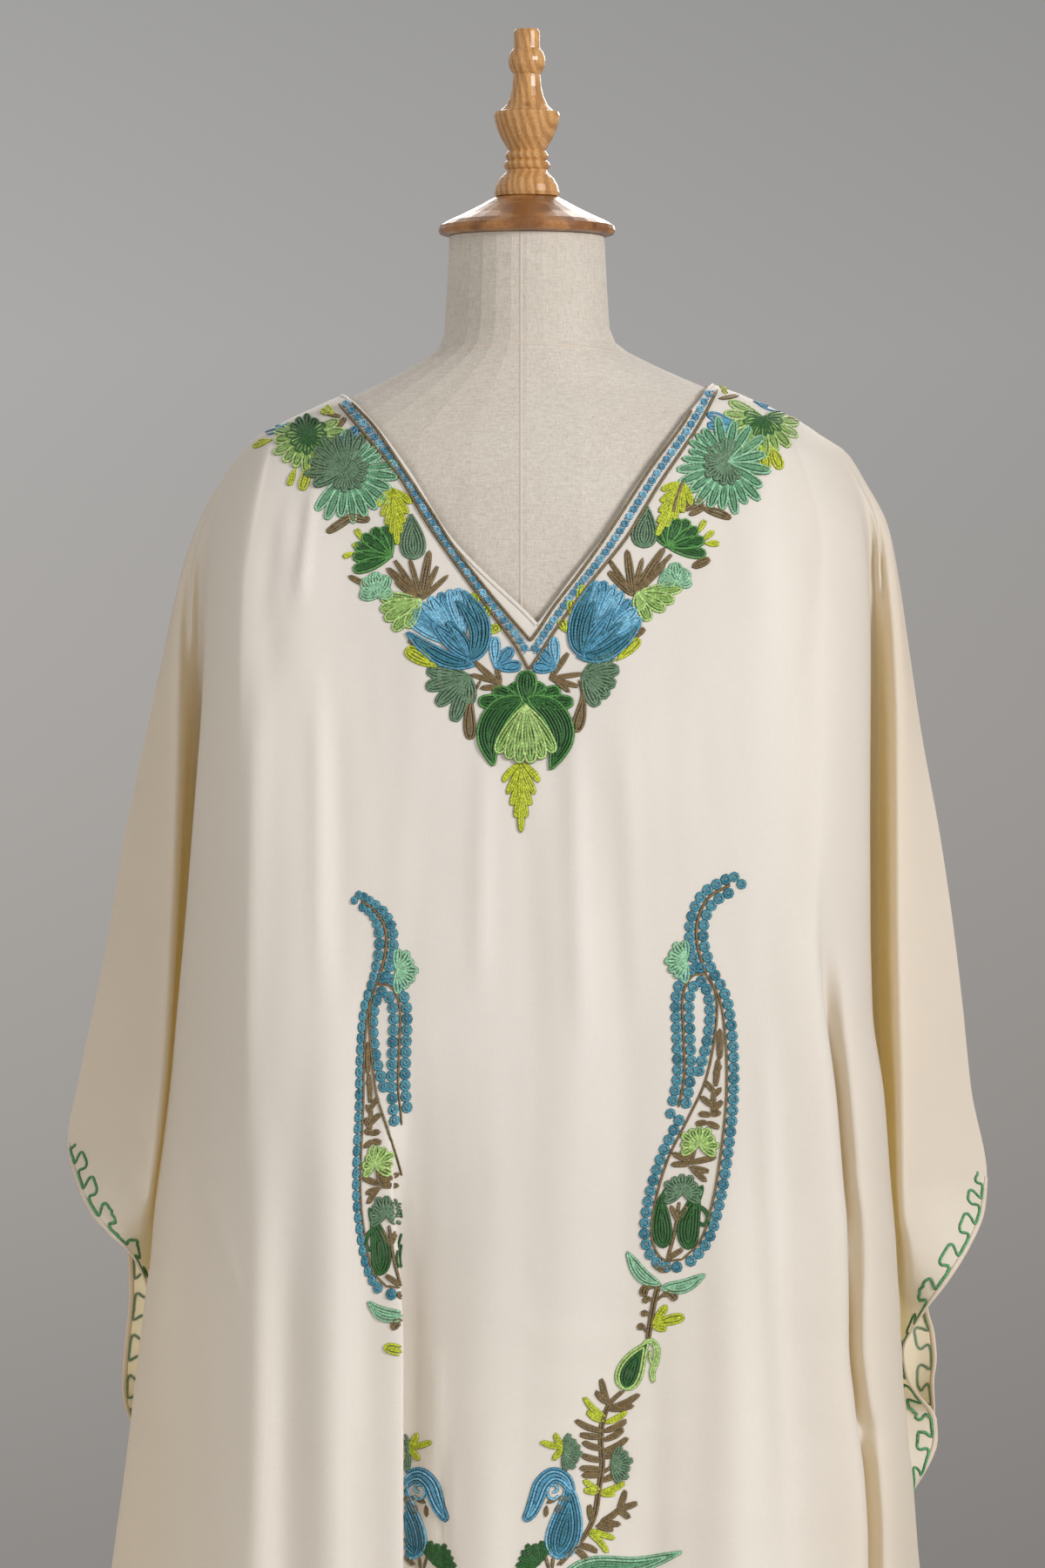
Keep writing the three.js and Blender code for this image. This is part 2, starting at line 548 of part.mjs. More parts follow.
const ballArc = Array.from({ length: 9 }, (_, i) => {
  const angle = -0.78 + (i / 8) * 1.56;
  return [BALL_RADIUS * Math.cos(angle), BALL_Z + BALL_RADIUS * Math.sin(angle)];
});
const capProfile = [
  [0, NECK_TOP + CAP_SEAT], [56, NECK_TOP + CAP_SEAT], [60, 1508.6], [CAP_RADIUS, 1511.4],
  [60, 1514.4], [55, 1517.4], [44, 1522.4], [33, 1528], [25, 1532.4], [21, FINIAL_SEAT - CAP_SEAT],
  [0, FINIAL_SEAT - CAP_SEAT],
];
const finialProfile = [
  [0, FINIAL_SEAT], [22, FINIAL_SEAT], [22.5, 1537.4], [21.4, 1542], [18.6, 1547], [14.4, 1551.2],
  [13.8, 1552.8], [15.4, 1554.2], [16.1, 1556.2], [15.2, 1558.2], [13.4, 1559.6], [14.4, 1560.9],
  [15, 1562.6], [14, 1564.6], [12.6, 1566.2], [14.6, 1569.4], [18, 1575], [20.6, 1581],
  [22.2, 1586.6], [22.8, 1590.6], [22, 1592.8], [18.2, 1593.6], [14.4, 1597.6], [11.6, 1603.4],
  [10, 1610], [9.4, 1617], ...ballArc, [9, 1637.6], [9, 1648.2], [7.6, FINIAL_TOP], [0, FINIAL_TOP],
];
const poleProfile = [
  [0, BASE_TOP + 0.3], [28, BASE_TOP + 0.3], [28, BASE_TOP + 10], [20, BASE_TOP + 18],
  [POLE_RADIUS, BASE_TOP + 26], [POLE_RADIUS, FORM_FLOOR - 0.3], [0, FORM_FLOOR - 0.3],
];
const baseProfile = [
  [0, 0], [BASE_RADIUS - 4, 0], [BASE_RADIUS, 4], [BASE_RADIUS, 12], [BASE_RADIUS - 6, 17.6],
  [BASE_RADIUS - 14, BASE_TOP], [0, BASE_TOP],
];

const CLOTH = { color: 0xe9e0cd, roughness: 0.75 };
const LINEN = { color: 0xcdc3b4, roughness: 0.9 };
const PALE_WOOD = { color: 0xc8965a, roughness: 0.35 };
const DARK_WOOD = { color: 0xab7438, roughness: 0.38 };

function piece(name, geometry, look) {
  const material = new THREE.MeshStandardMaterial({ ...look, metalness: 0 });
  const mesh = new THREE.Mesh(geometry, material);
  mesh.name = name;
  return mesh;
}

const kaftan = new THREE.Group();
kaftan.name = 'kaftan_on_dress_form';
kaftan.add(piece('front', clothPanel(false, FRONT_HEIGHTS, V_BOTTOM_Z), CLOTH));
kaftan.add(piece('back', clothPanel(true, BACK_HEIGHTS, BACK_NECK_Z), CLOTH));
kaftan.add(piece('torso', ringSolid(FORM_ROWS.map(([z]) => formRing(z, 32))), LINEN));
kaftan.add(piece('neck_cap', turned(capProfile, 32), DARK_WOOD));
kaftan.add(piece('finial', turned(finialProfile, 20), PALE_WOOD));
kaftan.add(piece('pole', turned(poleProfile, 20), PALE_WOOD));
kaftan.add(piece('base', turned(baseProfile, 40), DARK_WOOD));

export default kaftan;
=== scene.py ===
"""A batwing kaftan with chain-stitch embroidery, worn by a limbless dress form."""
import math

import bpy
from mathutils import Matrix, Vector, noise
from mathutils.bvhtree import BVHTree


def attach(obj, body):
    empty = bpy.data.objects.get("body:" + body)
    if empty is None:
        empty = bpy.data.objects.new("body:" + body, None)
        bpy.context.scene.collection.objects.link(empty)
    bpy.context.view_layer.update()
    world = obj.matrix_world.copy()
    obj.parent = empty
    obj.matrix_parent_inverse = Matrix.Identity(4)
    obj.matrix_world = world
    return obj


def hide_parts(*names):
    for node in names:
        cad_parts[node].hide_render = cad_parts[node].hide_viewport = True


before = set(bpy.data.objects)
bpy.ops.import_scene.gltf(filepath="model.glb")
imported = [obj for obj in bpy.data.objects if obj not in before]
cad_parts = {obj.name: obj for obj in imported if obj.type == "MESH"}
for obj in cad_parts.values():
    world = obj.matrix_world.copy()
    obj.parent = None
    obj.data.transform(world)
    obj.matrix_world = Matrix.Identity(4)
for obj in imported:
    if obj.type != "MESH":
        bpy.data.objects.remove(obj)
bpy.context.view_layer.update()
bpy.ops.object.select_all(action="DESELECT")

# ---- The studio ----
# A long lens stands level with the chest, five metres off. A big soft light stands
# to the right in front, a weak warm one to the left and one behind, in a grey room.
CAMERA_AWAY = 5.2
CAMERA_HEIGHT = 1.13
FRAME_HEIGHT = 1.08  # what the lens takes in at the middle of the form

camera_data = bpy.data.cameras.new("camera")
camera_data.sensor_width = 36
camera_data.lens = 36 * CAMERA_AWAY / FRAME_HEIGHT
camera = bpy.data.objects.new("camera", camera_data)
bpy.context.scene.collection.objects.link(camera)
camera.location = (-0.003, -CAMERA_AWAY, CAMERA_HEIGHT)
camera.rotation_euler = (math.pi / 2, 0, 0)
bpy.context.scene.camera = camera

# each row: name, place, size, power, colour
LIGHTS = (
    ("key_light", (3.2, -2.8, 2.7), 1.4, 138, (1.0, 0.99, 0.985)),
    ("fill_light", (-2.6, -3.4, 1.3), 2.0, 27, (1.0, 0.96, 0.9)),
    ("back_light", (0.3, 3.0, 2.5), 1.8, 48, (1.0, 0.97, 0.92)),
)
for name, place, size, power, colour in LIGHTS:
    light = bpy.data.lights.new(name, "AREA")
    light.shape = "DISK"
    light.size = size
    light.energy = power
    light.color = colour
    lamp = bpy.data.objects.new(name, light)
    bpy.context.scene.collection.objects.link(lamp)
    lamp.location = place
    lamp.rotation_euler = (Vector((0, 0, 1.05)) - Vector(place)).to_track_quat("-Z", "Y").to_euler()

world = bpy.data.worlds.new("room")
bpy.context.scene.world = world
world.use_nodes = True
room = world.node_tree
toward = room.nodes.new("ShaderNodeTexCoord")
parts = room.nodes.new("ShaderNodeSeparateXYZ")
height = room.nodes.new("ShaderNodeMapRange")
grey = room.nodes.new("ShaderNodeValToRGB")
room.links.new(toward.outputs["Generated"], parts.inputs[0])
room.links.new(parts.outputs["Z"], height.inputs["Value"])
room.links.new(height.outputs[0], grey.inputs[0])
room.links.new(grey.outputs[0], room.nodes["Background"].inputs["Color"])
height.inputs[1].default_value, height.inputs[2].default_value = -0.12, 0.12
GREYS = (
    # how high, as a share of the wall that the lens takes in, and the colour there
    (0.08, (0.25, 0.238, 0.226)),
    (0.31, (0.321, 0.303, 0.288)),
    (0.5, (0.358, 0.34, 0.325)),
    (0.74, (0.375, 0.367, 0.359)),
    (0.93, (0.33, 0.327, 0.322)),
    (1.0, (0.43, 0.425, 0.415)),
)
for step in range(4):
    grey.color_ramp.elements.new(0.2 + 0.2 * step)
for element, (position, colour) in zip(grey.color_ramp.elements, GREYS):
    element.position = position
    element.color = (*colour, 1)
aside_room = room.nodes.new("ShaderNodeMapRange")
room.links.new(parts.outputs["X"], aside_room.inputs["Value"])
for socket, value in ((1, -0.12), (2, 0.12), (3, 1.17), (4, 0.84)):
    aside_room.inputs[socket].default_value = value
room.links.new(aside_room.outputs[0], room.nodes["Background"].inputs["Strength"])
bpy.context.scene.view_settings.view_transform = "Standard"

bpy.ops.mesh.primitive_plane_add(size=9, location=(0, 0, -0.0005))
floor = bpy.context.object
floor.name = "floor"
floor_paint = bpy.data.materials.new("pale_floor")
floor_paint.use_nodes = True
floor_paint.node_tree.nodes["Principled BSDF"].inputs["Base Color"].default_value = (0.55, 0.545, 0.53, 1)
floor_paint.node_tree.nodes["Principled BSDF"].inputs["Roughness"].default_value = 0.8
floor.data.materials.append(floor_paint)
bpy.ops.object.select_all(action="DESELECT")


# ---- The dress form ----
# A padded bust without arms, covered in unbleached linen that is glued down smooth.
# A seam runs down the middle of the front and one round the root of the neck.
def join(material, *steps):
    """Adds nodes and links: each step is a node type, its settings, its inputs and a name."""
    tree = material.node_tree
    made = {"shader": tree.nodes["Principled BSDF"]}
    for key, kind, settings, inputs in steps:
        node = tree.nodes.new(kind)
        for setting, value in settings.items():
            setattr(node, setting, value)
        for socket, value in inputs.items():
            if isinstance(value, str):
                source, _, out = value.partition(".")
                tree.links.new(made[source].outputs[int(out) if out.isdigit() else out or 0],
                               node.inputs[socket])
            else:
                node.inputs[socket].default_value = value
        made[key] = node
    return made


def link(material, made, source, socket, out=0):
    material.node_tree.links.new(made[source].outputs[out], made["shader"].inputs[socket])


def ramp(node, *stops):
    """Sets a colour ramp's stops: place and colour."""
    elements = node.color_ramp.elements
    while len(elements) < len(stops):
        elements.new(0.5)
    for element, (place, colour) in zip(elements, stops):
        element.position = place
        element.color = (*colour, 1)


def fresh(name, roughness):
    material = bpy.data.materials.new(name)
    material.use_nodes = True
    material.node_tree.nodes["Principled BSDF"].inputs["Roughness"].default_value = roughness
    return material


linen = fresh("linen", 0.92)
linen.node_tree.nodes["Principled BSDF"].inputs["Sheen Weight"].default_value = 0.15
made = join(
    linen,
    ("place", "ShaderNodeTexCoord", {}, {}),
    ("upright", "ShaderNodeMapping", {}, {"Vector": "place.Object", "Scale": (900, 900, 160)}),
    ("level", "ShaderNodeMapping", {}, {"Vector": "place.Object", "Scale": (160, 160, 1100)}),
    ("warp", "ShaderNodeTexNoise", {}, {"Vector": "upright.0", "Scale": 1.0, "Detail": 2.0}),
    ("weft", "ShaderNodeTexNoise", {}, {"Vector": "level.0", "Scale": 1.0, "Detail": 2.0}),
    ("both", "ShaderNodeMath", {"operation": "ADD"}, {0: "warp.0", 1: "weft.0"}),
    ("threads", "ShaderNodeMath", {"operation": "MULTIPLY"}, {0: "both.0", 1: 0.5}),
    ("soil", "ShaderNodeTexNoise", {}, {"Vector": "place.Object", "Scale": 9.0, "Detail": 4.0}),
    ("fleck", "ShaderNodeTexNoise", {}, {"Vector": "place.Object", "Scale": 640.0, "Detail": 1.0}),
    ("tone", "ShaderNodeValToRGB", {}, {"Fac": "threads.0"}),
    ("flecks", "ShaderNodeValToRGB", {}, {"Fac": "fleck.0"}),
    ("shade", "ShaderNodeValToRGB", {}, {"Fac": "soil.0"}),
    ("worn", "ShaderNodeMix", {"data_type": "RGBA", "blend_type": "MULTIPLY"},
     {0: 1.0, 6: "tone.0", 7: "shade.0"}),
    ("cloth", "ShaderNodeMix", {"data_type": "RGBA", "blend_type": "MULTIPLY"},
     {0: 1.0, 6: "worn.2", 7: "flecks.0"}),
    # the seams, as thin lines at the middle of the front and round the root of the neck
    ("spot", "ShaderNodeSeparateXYZ", {}, {0: "place.Object"}),
    ("across", "ShaderNodeMath", {"operation": "ADD"}, {0: "spot.0", 1: 0.0042}),
    ("aside", "ShaderNodeMath", {"operation": "ABSOLUTE"}, {0: "across.0"}),
    ("front_seam", "ShaderNodeMapRange", {}, {"Value": "aside.0", 1: 0.0002, 2: 0.0012, 3: 1.0, 4: 0.0}),
    ("dip", "ShaderNodeMath", {"operation": "MULTIPLY_ADD"}, {0: "spot.1", 1: -0.16, 2: 1.4205}),
    ("above", "ShaderNodeMath", {"operation": "SUBTRACT"}, {0: "spot.2", 1: "dip.0"}),
    ("round", "ShaderNodeMath", {"operation": "ABSOLUTE"}, {0: "above.0"}),
    ("neck_seam", "ShaderNodeMapRange", {}, {"Value": "round.0", 1: 0.0002, 2: 0.0013, 3: 1.0, 4: 0.0}),
    ("seams", "ShaderNodeMath", {"operation": "MAXIMUM"}, {0: "front_seam.0", 1: "neck_seam.0"}),
    ("sewn", "ShaderNodeMix", {"data_type": "RGBA"}, {0: "seams.0", 6: "cloth.2", 7: (0.66, 0.57, 0.48, 1)}),
    ("raised", "ShaderNodeMath", {"operation": "MULTIPLY_ADD"}, {0: "seams.0", 1: 3.0, 2: "threads.0"}),
    ("bump", "ShaderNodeBump", {}, {"Height": "raised.0", "Strength": 0.35, "Distance": 0.0006}),
)
ramp(made["tone"], (0.35, (0.57, 0.52, 0.46)), (0.65, (0.71, 0.655, 0.59)))
ramp(made["shade"], (0.35, (0.93, 0.92, 0.9)), (0.65, (1.0, 1.0, 1.0)))
ramp(made["flecks"], (0.27, (0.86, 0.81, 0.75)), (0.35, (1.0, 1.0, 1.0)))
link(linen, made, "sewn", "Base Color", 2)
link(linen, made, "bump", "Normal")


def dress(node, material, smooth=True):
    """Gives a solid of the frame its finish."""
    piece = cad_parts[node]
    piece.data.materials.clear()
    piece.data.materials.append(material)
    if smooth:
        for polygon in piece.data.polygons:
            polygon.use_smooth = True


dress("torso", linen)

# ---- The neck cap and its knob, the pole and the foot ----
# Turned from a close-grained hardwood and varnished: the knob pale, the cap darker,
# with knots and small dents. The pole and foot are the same wood, plainly turned.
def wood(name, light, dark, scale):
    material = fresh(name, 0.34)
    shader = material.node_tree.nodes["Principled BSDF"]
    shader.inputs["Coat Weight"].default_value = 0.35
    shader.inputs["Coat Roughness"].default_value = 0.25
    made = join(
        material,
        ("place", "ShaderNodeTexCoord", {}, {}),
        ("turn", "ShaderNodeMapping", {},
         {"Vector": "place.Object", "Rotation": (0.12, 0.2, 0.3), "Location": (0.03, 0.01, 0)}),
        ("along", "ShaderNodeMapping", {}, {"Vector": "turn.0", "Scale": scale}),
        ("rings", "ShaderNodeTexWave", {"wave_type": "BANDS", "bands_direction": "X"},
         {"Vector": "along.0", "Scale": 1.0, "Distortion": 7.0, "Detail": 3.0, "Detail Scale": 0.8}),
        ("pores", "ShaderNodeMapping", {}, {"Vector": "turn.0", "Scale": (1500, 1500, 60)}),
        ("pore", "ShaderNodeTexNoise", {}, {"Vector": "pores.0", "Scale": 1.0, "Detail": 2.0}),
        ("knots", "ShaderNodeTexVoronoi", {}, {"Vector": "turn.0", "Scale": 26.0}),
        ("grain", "ShaderNodeValToRGB", {}, {"Fac": "rings.1"}),
        ("specks", "ShaderNodeValToRGB", {}, {"Fac": "pore.0"}),
        ("knot", "ShaderNodeValToRGB", {}, {"Fac": "knots.0"}),
        ("ground", "ShaderNodeMix", {"data_type": "RGBA", "blend_type": "MULTIPLY"},
         {0: 1.0, 6: "grain.0", 7: "specks.0"}),
        ("worn", "ShaderNodeMix", {"data_type": "RGBA", "blend_type": "MULTIPLY"},
         {0: 0.8, 6: "ground.2", 7: "knot.0"}),
        ("bump", "ShaderNodeBump", {}, {"Height": "pore.0", "Strength": 0.12, "Distance": 0.0004}),
    )
    ramp(made["grain"], (0.15, dark), (0.85, light))
    ramp(made["specks"], (0.36, (0.72, 0.62, 0.5)), (0.47, (1, 1, 1)))
    ramp(made["knot"], (0.0, (0.25, 0.15, 0.08)), (0.085, (0.95, 0.93, 0.9)))
    link(material, made, "worn", "Base Color", 2)
    link(material, made, "bump", "Normal")
    return material


pale_wood = wood("pale_varnished_wood", (0.66, 0.37, 0.14), (0.48, 0.235, 0.075), (60, 60, 7))
dark_wood = wood("darker_varnished_wood", (0.42, 0.19, 0.055), (0.25, 0.1, 0.028), (9, 70, 70))
for node, material in (("finial", pale_wood), ("pole", pale_wood), ("neck_cap", dark_wood),
                       ("base", dark_wood)):
    dress(node, material)
    bpy.ops.object.select_all(action="DESELECT")
    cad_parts[node].select_set(True)
    bpy.context.view_layer.objects.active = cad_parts[node]
    bpy.ops.object.shade_smooth_by_angle(angle=math.radians(38))
bpy.ops.object.select_all(action="DESELECT")

# ---- The kaftan ----
# One length of smooth ivory cotton and silk, folded along the shoulders, with its
# sides sewn below the wide sleeves. It is worn, so it hangs from the shoulders and
# bust, drops in a deep valley beside each sleeve and laps over in a pleat.
MM = 0.001
V_BOTTOM = 1237.5
BACK_NECK = 1384
CUFF_TOPS = (881, 858)  # left and right in the view
UNDERARMS = (668, 628)
HEM = 80
FORM_FLOOR = 774
CLEAR_OUT, CLEAR_UP = 2.6, 3.4
LAP_EDGE = 84.6

# each row: z, half, front, back
FORM_ROWS = (
    (1507, 53.4, 53.4, 53.4),
    (1470, 55.2, 55.2, 55.2),
    (1442, 57, 57, 57),
    (1432, 61, 59, 60),
    (1425, 70, 61, 63),
    (1416, 87, 64, 68),
    (1406, 108, 67, 73),
    (1397, 128, 71, 78),
    (1388, 149, 76, 82),
    (1380, 167, 80, 85),
    (1372, 182, 84, 88),
    (1364, 190.5, 88, 91),
    (1350, 194, 93, 95),
    (1334, 193, 98, 98),
    (1300, 186, 108, 103),
    (1250, 177, 119, 106),
    (1195, 170, 127, 103),
    (1130, 152, 115, 94),
    (1060, 134, 98, 86),
    (1000, 136, 98, 92),
    (940, 154, 106, 106),
    (880, 170, 112, 118),
    (830, 174, 112, 119),
    (795, 168, 107, 113),
    (778, 150, 94, 100),
    (774, 120, 74, 80),
)
V_ROWS = ((1402, 129), (1394, 118), (1346, 81), (1301, 54), (1269, 27), (V_BOTTOM, 0))
BACK_NECK_ROWS = ((1402, 129), (1397, 108), (1392, 84), (1387.5, 52), (BACK_NECK, 0))
FRONT_COLUMNS = ("z", "end_x", "end_y", "sleeve_x", "sleeve_y", "valley_x", "valley_y", "edge_x",
                 "edge_y", "corner_x", "corner_y", "middle_y", "gap", "roll", "tuck")
FRONT_LEFT = (
    (1369, 196, 0, 195, -4, 193, -9, 190, -18, 172, -52, -89, 0, 0, 0),
    (1351, 207, 0, 205, -9, 202, -17, 197, -28, 176, -62, -94, 0, 0, 0),
    (1326, 222, 0, 219, -13, 214, -25, 207, -42, 180, -78, -101, 0, 0.1, 0.1),
    (1300, 233, 1, 228, -16, 222, -27, 213, -54, 184, -92, -110, 0, 0.3, 0.4),
    (1267, 242, 1, 233, -21, 225, -20, 216, -64, 188, -104, -120, 0, 0.6, 0.8),
    (1207, 254, 2, 235, -28, 227, -8, 218, -72, 190, -116, -131, 0, 1, 1),
    (1148, 266, 4, 236, -36, 229, 2, 222, -76, 189, -124, -137, 0, 1, 1),
    (1091, 278, 5, 237.5, -44, 232, 6, 226.5, -78, 188, -129, -141, 0, 1, 1),
    (1033, 287.5, 6, 239.5, -52, 236, 10, 231, -79, 187, -132, -144, 0, 1, 1),
    (978, 298, 8, 242, -60, 239.5, 12, 236, -80, 186, -135, -146, 0, 1, 1),
    (928, 308.5, 9, 245.5, -66, 243, 13, 240.5, -80, 184, -137, -148, 0, 1, 1),
    (881, 316.8, 10, 250.5, -70, 247, 13, 246.5, -80, 184, -139, -150, 0, 1, 1),
    (852, 307, -24, 254.5, -70, 249, 12, 250.5, -80, 184, -140, -151, 0, 1, 1),
    (833, 295, -44, 256, -68, 250, 12, 252.5, -80, 184, -141, -152, 0, 0.8, 1),
    (806, 267, -58, 255, -56, 250, 12, 255, -79, 185, -142, -153, 0, 0.3, 1),
    (783, 258.5, -50, 254, -40, 250, 12, 258.5, -78, 185, -143, -154, 0, 0, 1),
    (740, 256, -26, 252, -16, 250, 12, 264, -74, 185, -144, -155, 0, 0, 0.7),
    (705, 254, 2, 252, 4, 251, 10, 268.5, -68, 186, -145, -156, 0, 0, 0.3),
    (668, 262, 22, 262, 12, 264, 4, 273, -58, 188, -146, -157, 0, 0, 0),
    (595, 278, 18, 280, 8, 282, 0, 283, -48, 195, -148, -160, 0, 0, 0),
    (400, 300, 12, 301, 4, 303, -4, 304, -50, 208, -155, -167, 0, 0, 0),
    (200, 318, 8, 319, 0, 320, -8, 320, -54, 222, -162, -174, 0, 0, 0),
    (80, 326, 6, 327, -2, 328, -10, 328, -56, 228, -166, -178, 0, 0, 0),
)
FRONT_RIGHT = (
    (1369, 204, 0, 203, -4, 201, -9, 197, -18, 176, -52, -89, 0, 0, 0),
    (1354, 219, 0, 217, -9, 213, -17, 206, -30, 180, -62, -94, 0, 0, 0),
    (1326, 236, 0, 233, -14, 227, -24, 219, -44, 188, -80, -101, 0, 0.2, 0.2),
    (1300, 249, 1, 241, -18, 235, -24, 227, -56, 194, -92, -110, 0, 0.5, 0.6),
    (1267, 256, 1, 244, -24, 238, -16, 231, -64, 197, -103, -120, 0, 0.9, 1),
    (1222, 263, 2, 248, -30, 240, -6, 232, -70, 198, -113, -129, 0, 1, 1),
    (1165, 272, 4, 250, -36, 241, 2, 231, -75, 197, -122, -136, 0, 1, 1),
    (1100, 284, 5, 250, -44, 241, 8, 230.5, -78, 195, -128, -141, 0, 1, 1),
    (1039, 293, 6, 250, -52, 241, 12, 230.5, -80, 193, -132, -144, 0.1, 1, 1),
    (978, 300.5, 8, 251, -58, 242, 14, 232, -80, 198, -135, -146, 0.7, 1, 1),
    (920, 306.5, 9, 252, -64, 245, 14, 241, -78, 205, -138, -148, 1, 1, 1),
    (858, 317.4, 10, 252.5, -68, 248, 13, 246.3, -76, 210, -141, -151, 1, 1, 1),
    (837, 313.4, -24, 253.5, -70, 249, 12, 248.5, -75, 212, -142, -152, 0.9, 1, 1),
    (818, 304.4, -42, 255, -70, 250, 12, 250, -75, 212.5, -143, -153, 0.8, 0.9, 1),
    (793, 288, -56, 256, -66, 250, 12, 251.5, -74, 213, -144, -154, 0.9, 0.7, 1),
    (774, 273, -58, 256, -58, 250, 12, 253, -74, 213, -145, -154, 1, 0.4, 1),
    (758, 263, -55, 254, -48, 250, 12, 253.5, -73, 213, -145, -155, 1, 0.1, 1),
    (745, 257, -48, 252, -40, 249, 12, 254.5, -72, 213.5, -146, -155, 1, 0, 1),
    (723, 261, -24, 254, -4, 249, 12, 255.5, -71, 216, -147, -156, 1, 0, 1),
    (709, 270, -6, 260, 6, 250, 14, 257, -69, 217.5, -148, -156, 0.9, 0, 1),
    (693, 282, 6, 266, 12, 251, 14, 259, -67, 220, -148, -157, 0.7, 0, 0.9),
    (678, 283, 5, 268, 12, 252, 14, 260, -66, 222, -149, -157, 0.92, 0, 0.8),
    (663, 278, 2, 267, 9, 254, 12, 262, -64, 223.5, -150, -157, 0.92, 0, 0.6),
    (640, 265, 8, 261, 9, 257, 8, 264, -59, 225, -151, -158, 0.92, 0, 0.2),
    (628, 259, 18, 259, 12, 260, 4, 265, -56, 225.5, -151, -158, 0.92, 0, 0),
    (595, 264, 18, 265, 8, 266, 0, 268, -50, 226, -152, -160, 0.92, 0, 0),
    (400, 294, 12, 295, 4, 297, -4, 298, -50, 238, -158, -167, 0.92, 0, 0),
    (200, 317, 8, 318, 0, 319, -8, 319, -54, 252, -165, -174, 0.92, 0, 0),
    (80, 326, 6, 327, -2, 328, -10, 328, -56, 258, -168, -178, 0.92, 0, 0),
)
BACK_COLUMNS = FRONT_COLUMNS[:12]
BACK_LEFT = (
    (1369, 196, 0, 195, 5, 192, 12, 186, 24, 168, 52, 92),
    (1351, 207, 0, 206, 8, 203, 18, 195, 34, 168, 66, 99),
    (1326, 222, 0, 220, 12, 214, 26, 203, 46, 168, 80, 105),
    (1300, 233, 1, 231, 16, 222, 34, 207, 58, 168, 92, 109),
    (1267, 242, 1, 239, 22, 228, 42, 209, 70, 168, 101, 112),
    (1207, 254, 2, 251, 28, 233, 50, 210, 82, 168, 108, 117),
    (1148, 266, 4, 262, 36, 238, 57, 212, 90, 170, 113, 121),
    (1033, 287.5, 6, 281, 48, 246, 66, 216, 99, 173, 121, 129),
    (928, 308.5, 9, 297, 58, 254, 72, 222, 104, 177, 126, 134),
    (881, 316.8, 10, 303, 64, 256, 75, 225, 106, 178, 128, 136),
    (849, 307, 46, 291, 76, 256, 78, 226, 107, 179, 129, 138),
    (830, 294, 66, 281, 82, 255, 80, 227, 108, 180, 130, 139),
    (803, 279, 80, 268, 86, 254, 82, 228, 109, 181, 131, 140),
    (774, 278, 86, 266, 88, 252, 84, 228, 110, 182, 132, 141),
    (754, 279.5, 86, 267, 88, 252, 85, 229, 110, 182, 133, 142),
    (728, 282, 82, 269, 86, 252, 86, 229, 111, 182, 133, 142),
    (710, 282.5, 74, 270, 83, 252, 86, 230, 112, 183, 134, 143),
    (694, 279, 56, 268, 74, 253, 85, 232, 112, 184, 135, 144),
    (685, 273, 38, 266, 62, 253, 82, 233, 112, 185, 136, 144),
    (668, 262, 22, 262, 46, 254, 76, 234, 112, 186, 136, 144),
    (590, 279, 18, 276, 46, 264, 78, 240, 114, 190, 139, 147),
    (400, 300, 12, 297, 46, 284, 80, 256, 120, 202, 148, 156),
    (200, 318, 8, 315, 46, 302, 84, 272, 128, 216, 158, 167),
    (80, 326, 6, 323, 46, 312, 88, 280, 134, 226, 167, 178),
)
BACK_RIGHT = (
    (1369, 204, 0, 203, 5, 200, 12, 192, 24, 170, 52, 92),
    (1354, 219, 0, 217, 8, 212, 18, 202, 34, 170, 66, 99),
    (1326, 236, 0, 233, 12, 225, 26, 209, 46, 170, 80, 105),
    (1300, 249, 1, 245, 16, 232, 34, 212, 58, 170, 92, 109),
    (1267, 256, 1, 251, 22, 236, 42, 213, 70, 170, 101, 112),
    (1222, 263, 2, 258, 28, 239, 50, 213, 82, 170, 108, 117),
    (1165, 272, 4, 266, 36, 242, 57, 214, 90, 171, 113, 121),
    (1039, 293, 6, 284, 48, 248, 66, 217, 99, 173, 121, 129),
    (928, 306.5, 9, 297, 58, 254, 72, 222, 104, 177, 126, 134),
    (858, 317.4, 10, 303, 66, 257, 76, 226, 107, 179, 129, 138),
    (837, 311, 42, 294, 76, 257, 79, 227, 108, 180, 130, 139),
    (818, 302, 60, 285, 83, 257, 81, 228, 109, 181, 131, 140),
    (793, 288, 76, 276, 86, 255, 83, 229, 110, 181, 132, 141),
    (764, 280.5, 84, 271, 88, 254, 85, 230, 111, 182, 133, 142),
    (746, 285, 86, 273, 88, 254, 86, 230, 112, 183, 134, 143),
    (728, 286.5, 82, 274, 87, 254, 87, 231, 112, 184, 135, 143),
    (711, 284, 72, 273, 82, 254, 87, 232, 113, 185, 136, 144),
    (694, 284, 54, 272, 74, 254, 86, 233, 113, 185, 137, 145),
    (672, 273, 34, 267, 58, 254, 82, 234, 113, 186, 137, 145),
    (650, 263, 24, 262, 46, 254, 78, 235, 113, 187, 138, 146),
    (628, 259, 18, 259, 44, 255, 78, 236, 114, 188, 138, 146),
    (590, 264, 18, 263, 46, 257, 79, 238, 114, 190, 139, 147),
    (400, 294, 12, 291, 46, 280, 80, 256, 120, 202, 148, 156),
    (200, 317, 8, 314, 46, 301, 84, 272, 128, 216, 158, 167),
    (80, 326, 6, 323, 46, 312, 88, 280, 134, 226, 167, 178),
)
